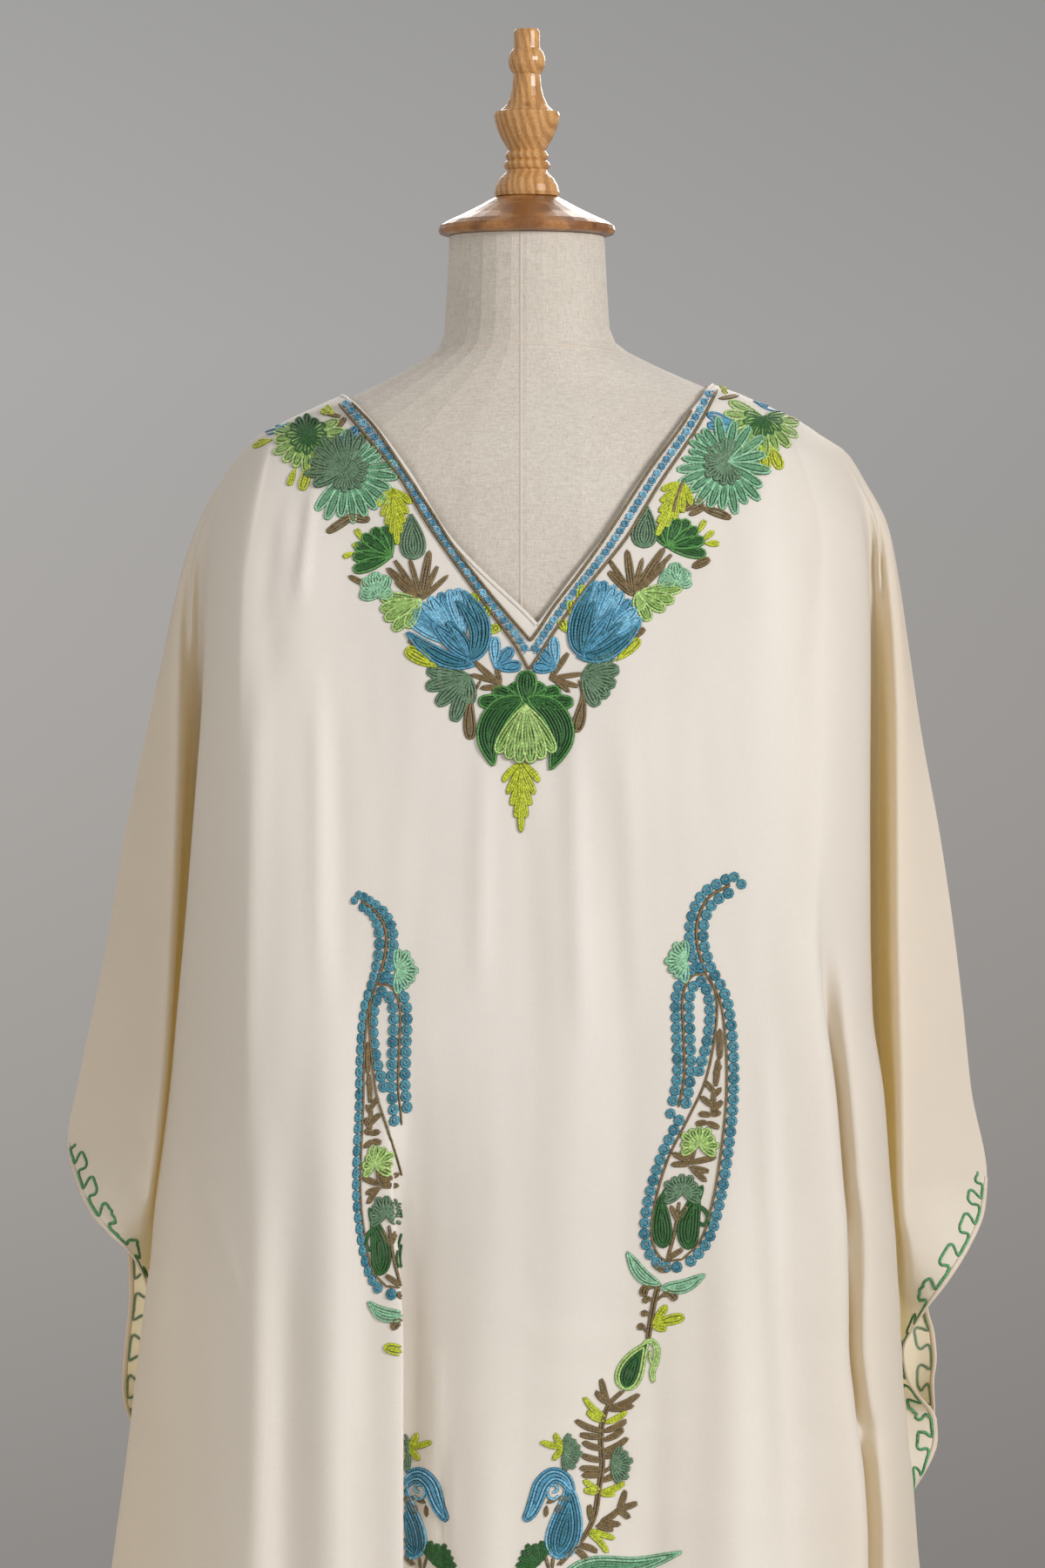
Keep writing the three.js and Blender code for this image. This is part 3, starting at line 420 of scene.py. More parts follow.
# soft folds: top, its x, bottom, its x, width and how far it stands out
FRONT_FOLDS = (
    (1345, -146, 1150, -162, 24, 4),
    (1090, -130, 60, -133, 18, 7),
    (1240, -214, 60, -222, 50, -15),
    (1180, -106, 60, -108, 14, -2.5),
    (1170, 24, 700, 30, 18, 2.6),
    (1170, 62, 640, 70, 16, -2.6),
    (1000, -159, 60, -164, 14, -6),
    (960, -180, 60, -184, 10, 3.5),
    (800, -36, 60, -26, 22, 4),
    (930, 40, 60, 34, 30, -4),
    (1000, 134, 60, 140, 22, 7),
    (900, 84, 60, 86, 14, -3),
    (1345, 150, 1120, 166, 24, 4),
    (560, 4, 60, 0, 24, 6),
)
BACK_FOLDS = (
    (1180, 0, 60, 0, 34, -9),
    (1280, -84, 60, -96, 32, 8),
    (1280, 84, 60, 92, 32, 8),
    (1100, -142, 60, -156, 26, -7),
    (1100, 140, 60, 150, 26, -7),
    (800, -44, 60, -40, 22, 8),
    (800, 46, 60, 44, 22, 8),
)
# the pleat's turns: flat place, folded place and depth, from its visible edge outwards
LAP_ROWS = (
    (62, 62, 0),
    (40, 40, -2.4),
    (24, 17, -4),
    (16, 0.6, -3.8),
    (13, -2, -2),
    (10, 0.4, -0.2),
    (6.5, 7.5, 1),
    (3, 14.6, 3),
    (0, 17, 7),
    (-3, 14.6, 13.5),
    (-7, 4, 21),
    (-13, -8, 20.5),
    (-28, -24, 12),
)


def value_at(rows, column, z):
    """One column of a table at height z, smooth and without overshoot."""
    if z >= rows[0][0]:
        return rows[0][column]
    if z <= rows[-1][0]:
        return rows[-1][column]
    i = next(k for k in range(len(rows) - 1) if rows[k + 1][0] <= z)

    def slope(k):
        return (rows[k + 1][column] - rows[k][column]) / (rows[k + 1][0] - rows[k][0])

    def knot(k):
        if k == 0:
            return slope(0)
        if k == len(rows) - 1:
            return slope(k - 1)
        before, after = slope(k - 1), slope(k)
        return 0 if before * after <= 1e-12 else 2 * before * after / (before + after)

    span = rows[i + 1][0] - rows[i][0]
    t = (z - rows[i][0]) / span
    return ((2 * t ** 3 - 3 * t * t + 1) * rows[i][column] + (t ** 3 - 2 * t * t + t) * knot(i) * span
            + (3 * t * t - 2 * t ** 3) * rows[i + 1][column] + (t ** 3 - t * t) * knot(i + 1) * span)


def ease(start, stop, value):
    t = min(1, max(0, (value - start) / (stop - start)))
    return t * t * (3 - 2 * t)


def mix(a, b, t):
    return (a[0] + (b[0] - a[0]) * t, a[1] + (b[1] - a[1]) * t)


def tilted(x, z):
    return z + 0.03 * x * ease(1120, 1310, z) * (1 - ease(1440, 1500, z))


def folds_at(folds, x, z):
    total = 0
    for top, top_x, bottom, bottom_x, width, depth in folds:
        down = min(1, max(0, (top - z) / (top - bottom)))
        away = (x - top_x - (bottom_x - top_x) * down) / (width * (0.7 + 0.6 * down))
        total += depth * ease(0, 0.35, down) * math.exp(-away * away)
    return total


def is_sewn(side, z):
    return z >= CUFF_TOPS[side > 0] or z <= UNDERARMS[side > 0]


def front_turns(side, z):
    """Points that one section of the front passes through, from its outer end inwards."""
    rows = FRONT_LEFT if side < 0 else FRONT_RIGHT
    s = {name: value_at(rows, column, z) for column, name in enumerate(FRONT_COLUMNS)}
    end, edge, corner = (s["end_x"], s["end_y"]), (s["edge_x"], s["edge_y"]), (s["corner_x"], s["corner_y"])
    vx, vy, sx, sy = s["valley_x"], s["valley_y"], s["sleeve_x"], s["sleeve_y"]
    valley = [mix(mix(end, edge, 0.42 + 0.1 * i), point, s["tuck"])
              for i, point in enumerate(((vx + 3.4, vy - 6), (vx, vy), (vx - 3.4, vy - 6)))]
    sleeve = [mix(mix(end, valley[0], 0.27 + 0.23 * i), point, s["roll"])
              for i, point in enumerate(((sx + 8, sy + 3), (sx + 3, sy - 1), (sx, sy + 5)))]
    crest, groove = mix(edge, corner, 0.42), mix(edge, corner, 0.82)
    crest = mix((crest[0], crest[1] - 7), (corner[0] + 14, corner[1] + 22), s["gap"])
    groove = mix((groove[0], groove[1] - 5), (corner[0] + 3, corner[1] + 40), s["gap"])
    inner = value_at(V_ROWS, 1, z) if z > V_BOTTOM else 0

    def bulge(x):
        return s["middle_y"] + (s["corner_y"] - s["middle_y"]) * (abs(x) / s["corner_x"]) ** 2.4

    points = [end, *sleeve, *valley, edge, crest, groove, corner]
    if side > 0:
        for t in (0.82, 0.64, 0.48, 0.32, 0.16, 0):
            x = inner + (s["corner_x"] - inner) * t
            points.append((x, bulge(x)))
    else:
        folded = 1 - ease(750, 965, z)
        raised = folded ** 0.65
        places = [(LAP_EDGE + flat + (lapped - flat) * folded, depth * raised, LAP_EDGE + flat)
                  for flat, lapped, depth in LAP_ROWS]
        outside = (s["corner_x"] + places[0][0]) / 2
        for x, deep, flat in [(outside, 0, outside), *places, (26, 0, 26), (0, 0, 0)]:
            points.append((inner + x * (1 - inner / s["corner_x"]),
                           bulge(inner + flat * (1 - inner / s["corner_x"])) + deep))
    return points, inner


def back_turns(side, z):
    rows = BACK_LEFT if side < 0 else BACK_RIGHT
    s = {name: value_at(rows, column, z) for column, name in enumerate(BACK_COLUMNS)}
    end = (s["end_x"], s["end_y"])
    if is_sewn(side, z):
        fronts = FRONT_LEFT if side < 0 else FRONT_RIGHT
        end = (value_at(fronts, 1, z), value_at(fronts, 2, z))
    points = [end, (s["sleeve_x"], s["sleeve_y"]), (s["valley_x"], s["valley_y"]),
              (s["edge_x"], s["edge_y"]), (s["corner_x"], s["corner_y"])]
    inner = value_at(BACK_NECK_ROWS, 1, z) if z > BACK_NECK else 0
    for t in (0.8, 0.6, 0.4, 0.2, 0):
        x = inner + (s["corner_x"] - inner) * t
        points.append((x, s["middle_y"] + (s["corner_y"] - s["middle_y"]) * (x / s["corner_x"]) ** 2.4))
    return points, inner


def through(points, counts):
    """A centripetal curve through the points, with so many steps in each stretch."""
    ends = [tuple(2 * a - b for a, b in zip(points[0], points[1])), *points,
            tuple(2 * a - b for a, b in zip(points[-1], points[-2]))]
    line = []
    for i, count in enumerate(counts):
        p0, p1, p2, p3 = ends[i:i + 4]
        d0, d1, d2 = (max(1e-4, math.dist(a, b) ** 0.5) for a, b in ((p0, p1), (p1, p2), (p2, p3)))
        for k in range(count):
            t = k / count
            xy = []
            for a, b, c, d in zip(p0, p1, p2, p3):
                t1 = ((b - a) / d0 - (c - a) / (d0 + d1) + (c - b) / d1) * d1
                t2 = ((c - b) / d1 - (d - b) / (d1 + d2) + (d - c) / d2) * d1
                xy.append(b + t1 * t + (-3 * b + 3 * c - 2 * t1 - t2) * t * t + (2 * b - 2 * c + t1 + t2) * t ** 3)
            line.append(tuple(xy))
    line.append(points[-1])
    return line


def section(side, behind, z, counts):
    """One level section of a panel's half, lying on the form where it meets it."""
    points, inner = back_turns(side, z) if behind else front_turns(side, z)
    out = 1 if behind else -1
    half = value_at(FORM_ROWS, 1, z - CLEAR_UP) + CLEAR_OUT
    depth = value_at(FORM_ROWS, 3 if behind else 2, z - CLEAR_UP) + CLEAR_OUT
    lying = ease(1350, 1380, z)
    if lying > 0:
        run = [0]
        for a, b in zip(points, points[1:]):
            run.append(run[-1] + math.dist(a, b))
        reach = math.acos(min(1, inner / half))
        points = [mix(p, (half * math.cos(reach * r / run[-1]),
                          out * depth * math.sin(reach * r / run[-1])), lying)
                  for p, r in zip(points, run)]
    line = through([(side * x, y) for x, y in points], counts)
    row = []
    for column, (x, y) in enumerate(line):
        folds = BACK_FOLDS if behind else FRONT_FOLDS
        y += out * ease(0, 0.3, column / len(line)) * folds_at(folds, x, z)
        if abs(x) < half and z > FORM_FLOOR:
            y = out * max(out * y, depth * math.sqrt(1 - (x / half) ** 2))
        row.append(Vector((x, y, tilted(x, z))))
    return row


FRONT_COUNTS = {-1: (12, 2, 2, 10, 2, 2, 12, 6, 6, 6, 5, 4, 6, 4, 4, 3, 3, 3, 3, 3, 3, 3, 3, 4, 7, 6),
                1: (12, 2, 2, 10, 2, 2, 12, 6, 8, 8, 8, 8, 8, 8, 8, 8)}
BACK_COUNTS = (10, 10, 10, 10, 8, 8, 8, 8, 8)
FRONT_LEVELS = (1401, 1394, 1385, 1374, 1360, 1344, 1324, 1300, 1270, V_BOTTOM, 1207, 1160, 1105,
                1045, 985, 930, 900, 881, 868, 858, 846, 833, 820, 806, 792, 779, 765, 745, 723,
                709, 693, 679, 668, 650, 628, 590, 520, 420, 300, 185, HEM)
BACK_LEVELS = (1401, 1396, 1391.5, 1387.5, BACK_NECK, 1374, 1360, 1344, 1324, 1300, 1270, 1235, 1180,
               1120, 1050, 985, 930, 881, 868, 858, 840, 820, 803, 785, 764, 746, 728, 711, 696,
               685, 668, 650, 628, 590, 520, 420, 300, 185, HEM)


def finer(levels, step):
    heights = []
    for a, b in zip(levels, levels[1:]):
        count = max(1, round((a - b) / step))
        heights += [a + (b - a) * k / count for k in range(count)]
    return heights + [levels[-1]]


def crease_at(creases, x, z):
    """Small uneven troughs and ridges, in millimetres, on top of the large folds."""
    total = 1.3 * noise.noise(Vector((x * 0.021, 7.0, z * 0.0035)))
    total += 0.5 * noise.noise(Vector((x * 0.06, 31.0, z * 0.011)))
    for x0, z0, x1, z1, width, depth in creases:
        dx, dz = x1 - x0, z1 - z0
        t = ((x - x0) * dx + (z - z0) * dz) / (dx * dx + dz * dz)
        if -0.2 < t < 1.2:
            away = ((x - x0) * dz - (z - z0) * dx) / math.hypot(dx, dz)
            total += depth * math.exp(-((away / width) ** 2)) * ease(-0.2, 0.25,
                                                                     t) * (1 - ease(0.75, 1.2, t))
    return total


# creases: from x, z to x, z, half width and how far each stands out
FRONT_CREASES = (
    (-145, 1328, -153, 1254, 4, 3.4),
    (-162, 1318, -172, 1240, 6, 2.0),
    (-170, 1290, -176, 1200, 9, -2.2),
    (-204, 1270, -214, 1180, 6, 1.8),
    (-141, 1190, -139, 1000, 6, 2.4),
    (-127, 1190, -124, 990, 7, -1.6),
    (-180, 1200, -190, 880, 7, 2.6),
    (-61.5, 745, -61, 672, 2.4, 1.8),
    (-58.5, 726, -48, 600, 2.4, 1.8),
    (-58, 722, -54.5, 600, 3.4, -1.8),
    (-118, 700, -116, 500, 4, -1.8),
    (-234, 912, -193, 790, 3, 2.0),
    (-228, 930, -205, 862, 3, 1.8),
    (-298, 905, -262, 850, 2.5, 2.0),
    (-290, 960, -256, 880, 2.5, 2.0),
    (200, 1300, 190, 1180, 9, 1.8),
    (158, 954, 174, 590, 6, 1.6),
    (-29, 1155, -32, 990, 6.5, 2.6),
    (31, 1165, 36, 970, 7.5, 3.0),
    (66, 1155, 73, 970, 9, 2.6),
    (2, 1120, 4, 960, 9, -1.0),
    (60, 1120, 84, 900, 16, -1.2),
    (-60, 1130, -88, 930, 16, -1.6),
    (226, 893, 212, 842, 2.5, 1.4),
)
BACK_CREASES = (
    (-120, 1330, -60, 1160, 16, -2.4),
    (120, 1330, 66, 1170, 16, -2.2),
    (-170, 1250, -176, 1050, 9, 2.2),
    (168, 1240, 178, 1040, 9, 2.0),
    (10, 1000, -14, 700, 12, 1.8),
    (60, 640, 80, 300, 10, 2.0),
    (-60, 600, -90, 260, 10, 2.0),
)


def panel(name, behind, levels, neck, counts):
    """Both halves of a panel as one sheet, with its cloth's own measure as UV."""
    creases = BACK_CREASES if behind else FRONT_CREASES
    heights = finer(levels, 4.6)
    halves = [[section(side, behind, z, counts if behind else counts[side]) for z in heights] for side in (-1, 1)]
    places, faces, ids = [], [], []
    for h, half in enumerate(halves):
        rows = []
        for r, row in enumerate(half):
            numbers = list(range(len(places), len(places) + len(row)))
            if h == 1 and heights[r] <= neck:
                numbers[-1] = ids[0][r][-1]
                places += row[:-1]
            else:
                places += row
            rows.append(numbers)
        ids.append(rows)
    for h, rows in enumerate(ids):
        for upper, lower in zip(rows, rows[1:]):
            for c in range(len(upper) - 1):
                ring = (upper[c], lower[c], lower[c + 1], upper[c + 1])
                faces.append(ring if (h == 0) != behind else ring[::-1])
    mesh = bpy.data.meshes.new(name)
    mesh.from_pydata(places, [], faces)
    mesh.update()
    normals = [Vector(v.normal) for v in mesh.vertices]
    for number, (place, normal) in enumerate(zip(places, normals)):
        along = max(0, abs(normal.y) - 0.25) / 0.75
        moved = place + normal * along * crease_at(creases, place.x, place.z)
        if not behind:
            # the point of the opening is dragged to the right, and its edges pull apart
            moved.x += 7 * math.exp(-((place.z - V_BOTTOM) / 34) ** 2 - (place.x / 50) ** 2)
            level = place.z - tilted(place.x, place.z) + place.z
            away = (abs(place.x) - (value_at(V_ROWS, 1, level) if level > V_BOTTOM else 0)) / 26
            if place.x > 0:
                pulled = 2.4 * ease(1242, 1280, level) + 3.4 * ease(1318, 1352, level)
                moved.x += pulled * (1 - ease(1390, 1401, level)) * math.exp(-away * away)
        mesh.vertices[number].co = moved * MM
    measure = {}
    for h, rows in enumerate(ids):
        for r, row in enumerate(rows):
            run = 0.0
            for number, before in zip(row[::-1], [None, *row[::-1]]):
                if before is not None:
                    run += (places[number] - places[before]).length
                measure[number] = ((1 if h else -1) * run * MM, heights[r] * MM)
    layer = mesh.uv_layers.new(name="cloth")
    for loop in mesh.loops:
        layer.data[loop.index].uv = measure[loop.vertex_index]
    for polygon in mesh.polygons:
        polygon.use_smooth = True
    piece = bpy.data.objects.new(name, mesh)
    bpy.context.scene.collection.objects.link(piece)
    halves = [[[mesh.vertices[number].co / MM for number in row] for row in rows] for rows in ids]
    return piece, halves, heights


front_sheet, front_halves, front_heights = panel("kaftan_front", False, FRONT_LEVELS, V_BOTTOM, FRONT_COUNTS)
back_sheet, back_halves, back_heights = panel("kaftan_back", True, BACK_LEVELS, BACK_NECK, BACK_COUNTS)

ivory = fresh("ivory_cloth", 0.62)
shader = ivory.node_tree.nodes["Principled BSDF"]
shader.inputs["Sheen Weight"].default_value = 0.25
shader.inputs["Sheen Roughness"].default_value = 0.4
shader.inputs["Specular IOR Level"].default_value = 0.35
made = join(
    ivory,
    ("measure", "ShaderNodeUVMap", {"uv_map": "cloth"}, {}),
    ("warps", "ShaderNodeMapping", {}, {"Vector": "measure.0", "Scale": (2600, 90, 1)}),
    ("wefts", "ShaderNodeMapping", {}, {"Vector": "measure.0", "Scale": (90, 2600, 1)}),
    ("warp", "ShaderNodeTexNoise", {}, {"Vector": "warps.0", "Scale": 1.0, "Detail": 1.0}),
    ("weft", "ShaderNodeTexNoise", {}, {"Vector": "wefts.0", "Scale": 1.0, "Detail": 1.0}),
    ("weave", "ShaderNodeMath", {"operation": "ADD"}, {0: "warp.0", 1: "weft.0"}),
    ("place", "ShaderNodeTexCoord", {}, {}),
    ("cloud", "ShaderNodeTexNoise", {}, {"Vector": "place.Object", "Scale": 5.0, "Detail": 3.0}),
    ("tone", "ShaderNodeValToRGB", {}, {"Fac": "cloud.0"}),
    ("thread", "ShaderNodeMapRange", {}, {"Value": "weave.0", 1: 0.7, 2: 1.3, 3: 0.955, 4: 1.0}),
    ("cloth", "ShaderNodeMix", {"data_type": "RGBA", "blend_type": "MULTIPLY"},
     {0: 1.0, 6: "tone.0", 7: "thread.0"}),
    ("bump", "ShaderNodeBump", {}, {"Height": "weave.0", "Strength": 0.18, "Distance": 0.0003}),
    ("spot", "ShaderNodeSeparateXYZ", {}, {0: "place.Object"}),
    ("off", "ShaderNodeMath", {"operation": "ABSOLUTE"}, {0: "spot.0"}),
    ("thinness", "ShaderNodeMapRange", {}, {"Value": "off.0", 1: 0.17, 2: 0.25, 3: 0.15, 4: 0.36}),
)
ramp(made["tone"], (0.35, (0.845, 0.8, 0.745)), (0.65, (0.885, 0.84, 0.785)))
link(ivory, made, "cloth", "Base Color", 2)
link(ivory, made, "bump", "Normal")
# thin cloth lets light through: the sleeves and their deep valleys glow warm
tree = ivory.node_tree
through_light = tree.nodes.new("ShaderNodeBsdfTranslucent")
through_light.inputs["Color"].default_value = (1.0, 0.82, 0.42, 1)
thin = tree.nodes.new("ShaderNodeMixShader")
tree.links.new(made["thinness"].outputs[0], thin.inputs[0])
tree.links.new(shader.outputs[0], thin.inputs[1])
tree.links.new(through_light.outputs[0], thin.inputs[2])
tree.links.new(thin.outputs[0], tree.nodes["Material Output"].inputs["Surface"])

# ---- The embroidery ----
# Close rows of chain stitch, worked from each outline inwards, as on Kashmiri hooked
# work: a band of coiled dots and a garland round the neck, and below it on each side
# a hooked paisley over a fern with a swan-necked paisley. Drawn in view, in millimetres.
THREAD = 2.05
STITCH = 2.3
RISE = 1.1
# each row: name, colour
THREADS = (
    ("blue", (0.07, 0.26, 0.4)),
    ("bead", (0.06, 0.235, 0.31)),
    ("teal", (0.03, 0.17, 0.24)),
    ("pale_blue", (0.17, 0.43, 0.6)),
    ("dark_green", (0.016, 0.1, 0.016)),
    ("mid_green", (0.07, 0.24, 0.05)),
    ("leaf_green", (0.24, 0.4, 0.1)),
    ("light_green", (0.38, 0.55, 0.18)),
    ("sea_green", (0.11, 0.3, 0.16)),
    ("aqua", (0.24, 0.48, 0.3)),
    ("dusky", (0.11, 0.2, 0.115)),
    ("lime", (0.44, 0.5, 0.02)),
    ("brown", (0.17, 0.115, 0.045)),
    ("hem_green", (0.07, 0.28, 0.1)),
)
sewn = {name: ([], [], []) for name, _ in THREADS}
front_skin = BVHTree.FromObject(front_sheet, bpy.context.evaluated_depsgraph_get())
back_skin = BVHTree.FromObject(back_sheet, bpy.context.evaluated_depsgraph_get())
PLEAT_EDGE = -84.6 * 1.028


def sew(colour, line, width, rise=RISE, lift=0):
    """A raised strip, three faces wide, along places and normals; lift puts it over others."""
    places, faces, measures = sewn[colour]
    first, run, last = len(places), 0, len(line) - 1
    for i, (place, normal) in enumerate(line):
        ahead = line[min(last, i + 1)][0] - line[max(0, i - 1)][0]
        run += (place - line[i - 1][0]).length if i else 0
        thin = 0.75 if i in (0, last) else 1
        across = ahead.cross(normal).normalized() * (width / 2 * thin * MM)
        for side, up in ((-1, -0.15), (-0.5, 1), (0.5, 1), (1, -0.15)):
            places.append(place + across * side + normal * ((up * rise * thin + lift) * MM))
            measures.append((run / (STITCH * MM), (side + 1) / 2))
        if i:
            corner = first + 4 * (i - 1)
            for c in range(corner, corner + 3):
                faces.append((c, c + 1, c + 5, c + 4))


def stepped(points, step):
    """The same line with even steps."""
    runs = [0]
    for a, b in zip(points, points[1:]):
        runs.append(runs[-1] + math.dist(a, b))
    count = max(2, round(runs[-1] / step))
    line, k = [], 0
    for i in range(count + 1):
        target = runs[-1] * i / count
        while k < len(runs) - 2 and runs[k + 1] < target:
            k += 1
        span = runs[k + 1] - runs[k]
        line.append(mix(points[k], points[k + 1], (target - runs[k]) / span if span else 0))
    return line


def seen(u, v):
    """The place on the front that the lens sees behind the drawing's point u, v."""
    ray = (Vector((u * MM, 0, v * MM)) - camera.location).normalized()
    place, normal, _, _ = front_skin.ray_cast(camera.location, ray)
    return place and (place, normal if normal.dot(ray) < 0 else -normal)


def work(colour, points, width=THREAD, twin=None, closed=False, lift=0):
    """Sews one drawn row; a twin's row is moved by its function, which may drop points."""
    line = stepped([*points, points[0]] if closed else points, 1.9)
    line += line[1:2] if closed else []
    run, before = [], None
    for u, v in line:
        spot = (u, v) if twin is None else twin(u, v)
        hit = seen(*spot) if spot else None
        if run and (hit is None or (hit[0] - before).length > 7 * MM):
            if len(run) > 2:
                sew(colour, run, width, lift=lift)
            run = []
        if hit:
            run.append(hit)
            before = hit[0]
    if len(run) > 2:
        sew(colour, run, width, lift=lift)


def curve(points, steps=7):
    return through(list(points), (steps,) * (len(points) - 1)) if len(points) > 2 else list(points)


# how a filled shape swells along its middle line: powers at its base and at its tip
SHAPES = {"petal": (0.75, 0.38), "finger": (0.3, 0.3), "leaf": (0.6, 0.8), "drop": (0.45, 1.15),
          "bean": (1.6, 0.45), "body": (0.5, 1.9)}


def blade(colours, width, shape, points, twin=None, lift=0):
    """A shape filled with rows that follow its outline, each colour one row further in."""
    colours = (colours,) if isinstance(colours, str) else colours
    low, high = SHAPES[shape]
    peak = (low / (low + high)) ** low * (high / (low + high)) ** high
    axis = stepped(curve(points), 0.8)
    count = len(axis) - 1
    halves = [width / 2 * ((i / count) ** low * (1 - i / count) ** high) / peak for i in range(count + 1)]
    ground = [axis[i] for i in range(count + 1) if halves[i] > 0.75 * THREAD]
    if len(ground) > 3:
        work(colours[-1], ground, THREAD * 1.35, twin, lift=lift - 0.2)
    level = 0
    while True:
        depth = THREAD * (0.5 + level)
        inside = [i for i in range(1, count) if halves[i] > depth]
        colour = colours[min(level, len(colours) - 1)]
        if len(inside) < 3 or max(halves) - depth < 0.3 * THREAD:
            inside = [i for i in range(count + 1) if halves[i] > depth - 0.75 * THREAD]
            if len(inside) > 2:
                work(colour, [axis[i] for i in inside],
                     min(THREAD * 1.25, 2 * (max(halves) - depth + THREAD / 2)), twin,
                     lift=lift)
            return
        ways = ([], [])
        for i in inside:
            ahead = (axis[min(count, i + 1)][0] - axis[i - 1][0],
                     axis[min(count, i + 1)][1] - axis[i - 1][1])
            size = math.hypot(*ahead) or 1
            for way, side in zip(ways, (1, -1)):
                out = side * (halves[i] - depth) / size
                way.append((axis[i][0] - ahead[1] * out, axis[i][1] + ahead[0] * out))
        foot = axis[0] if level == 0 else axis[inside[0]]
        work(colour, [foot, *ways[0], axis[inside[-1]], *ways[1][::-1]], THREAD, twin, True, lift)
        level += 1


def flower(colour, middle, start, stop, count, length, twin=None, lift=0):
    """Petals side by side round a middle, between two angles in degrees."""
    span = stop - start
    gaps = count if span == 360 else count - 1
    width = 1.12 * length * math.radians(span / gaps) * 0.85
    for i in range(count):
        angle = math.radians(start + span * i / gaps)
        reach = length * (1 + 0.07 * math.sin(2.4 * i))
        blade(colour, min(width, 8), "petal",
              (middle, (middle[0] + reach * math.cos(angle), middle[1] + reach * math.sin(angle))), twin,
              lift + 0.1 * (i % 3))


def coil(colour, middle, radius, twin=None):
    """A dot: one row coiled from its rim to its middle."""
    line = []
    for i in range(18):
        angle = 2.1 * math.tau * i / 17
        r = radius * (0.74 - 0.56 * ease(0.36, 1, i / 17))
        line.append((middle[0] + r * math.cos(angle), middle[1] + r * math.sin(angle)))
    spots = [seen(*(twin(*p) if twin else p)) for p in line if not twin or twin(*p)]
    if len(spots) > 8 and all(spots) and max((a[0] - b[0]).length for a,
                                             b in zip(spots, spots[1:])) < 5 * MM:
        sew(colour, spots, radius * 0.6)


def aside(points, offset):
    """A line moved to its left by so many millimetres."""
    line = []
    for i, p in enumerate(points):
        a, b = points[max(0, i - 1)], points[min(len(points) - 1, i + 1)]
        size = math.dist(a, b) or 1
        line.append((p[0] - (b[1] - a[1]) / size * offset, p[1] + (b[0] - a[0]) / size * offset))
    return line


def beads(points, offset, spacing, radius, twin=None, colour="blue", after=0.5):
    line = stepped(aside(stepped(curve(points), 1), offset), spacing)
    for i, p in enumerate(line[:-1]):
        coil("teal" if (i * 7) % 5 == 0 else colour, mix(p, line[i + 1], after), radius, twin)


# the band along the opening: its outer and its inner line on each side
BAND = (
    (((-129, 1391), (-113, 1372), (-88, 1342), (-69, 1310), (-45, 1276), (-23, 1246), (-7, 1224), (1, 1209)),
     ((-120, 1392), (-105, 1376), (-86, 1348), (-66, 1318), (-51, 1294), (-31, 1268), (-11, 1244),
      (2.5, 1228.5))),
    (((132.5, 1404), (119, 1378), (91, 1336), (69, 1300), (45, 1270), (21, 1238), (10, 1221), (2, 1209)),
     ((122.5, 1403), (109, 1380), (83, 1344), (57, 1304), (37, 1276), (17, 1250), (9, 1237.5),
      (2.5, 1228.5))),
)
for outer, inner in BAND:
    outer, inner = curve(outer), curve(inner)
    work("brown", outer, 2, lift=0.7)
    work("brown", inner, 2, lift=0.7)
    marks = stepped(outer, 6)
    last = len(marks) - 1
    middle = [mix(a, inner[round(k * (len(inner) - 1) / last)], 0.5) for k, a in enumerate(marks)]
    dots = stepped(middle, 5.9)
    for i, dot in enumerate(dots[:-1]):
        coil("blue" if i % 3 else "pale_blue", dot, 2.75)
        between = mix(dot, dots[i + 1], 0.5)
        along = (dots[i + 1][0] - dot[0], dots[i + 1][1] - dot[1])
        for side in (0.4, -0.4):
            spot = (between[0] - along[1] * side, between[1] + along[0] * side)
            work("pale_blue", [mix(spot, between, t) for t in (0, 0.2, 0.45)], 1.2)

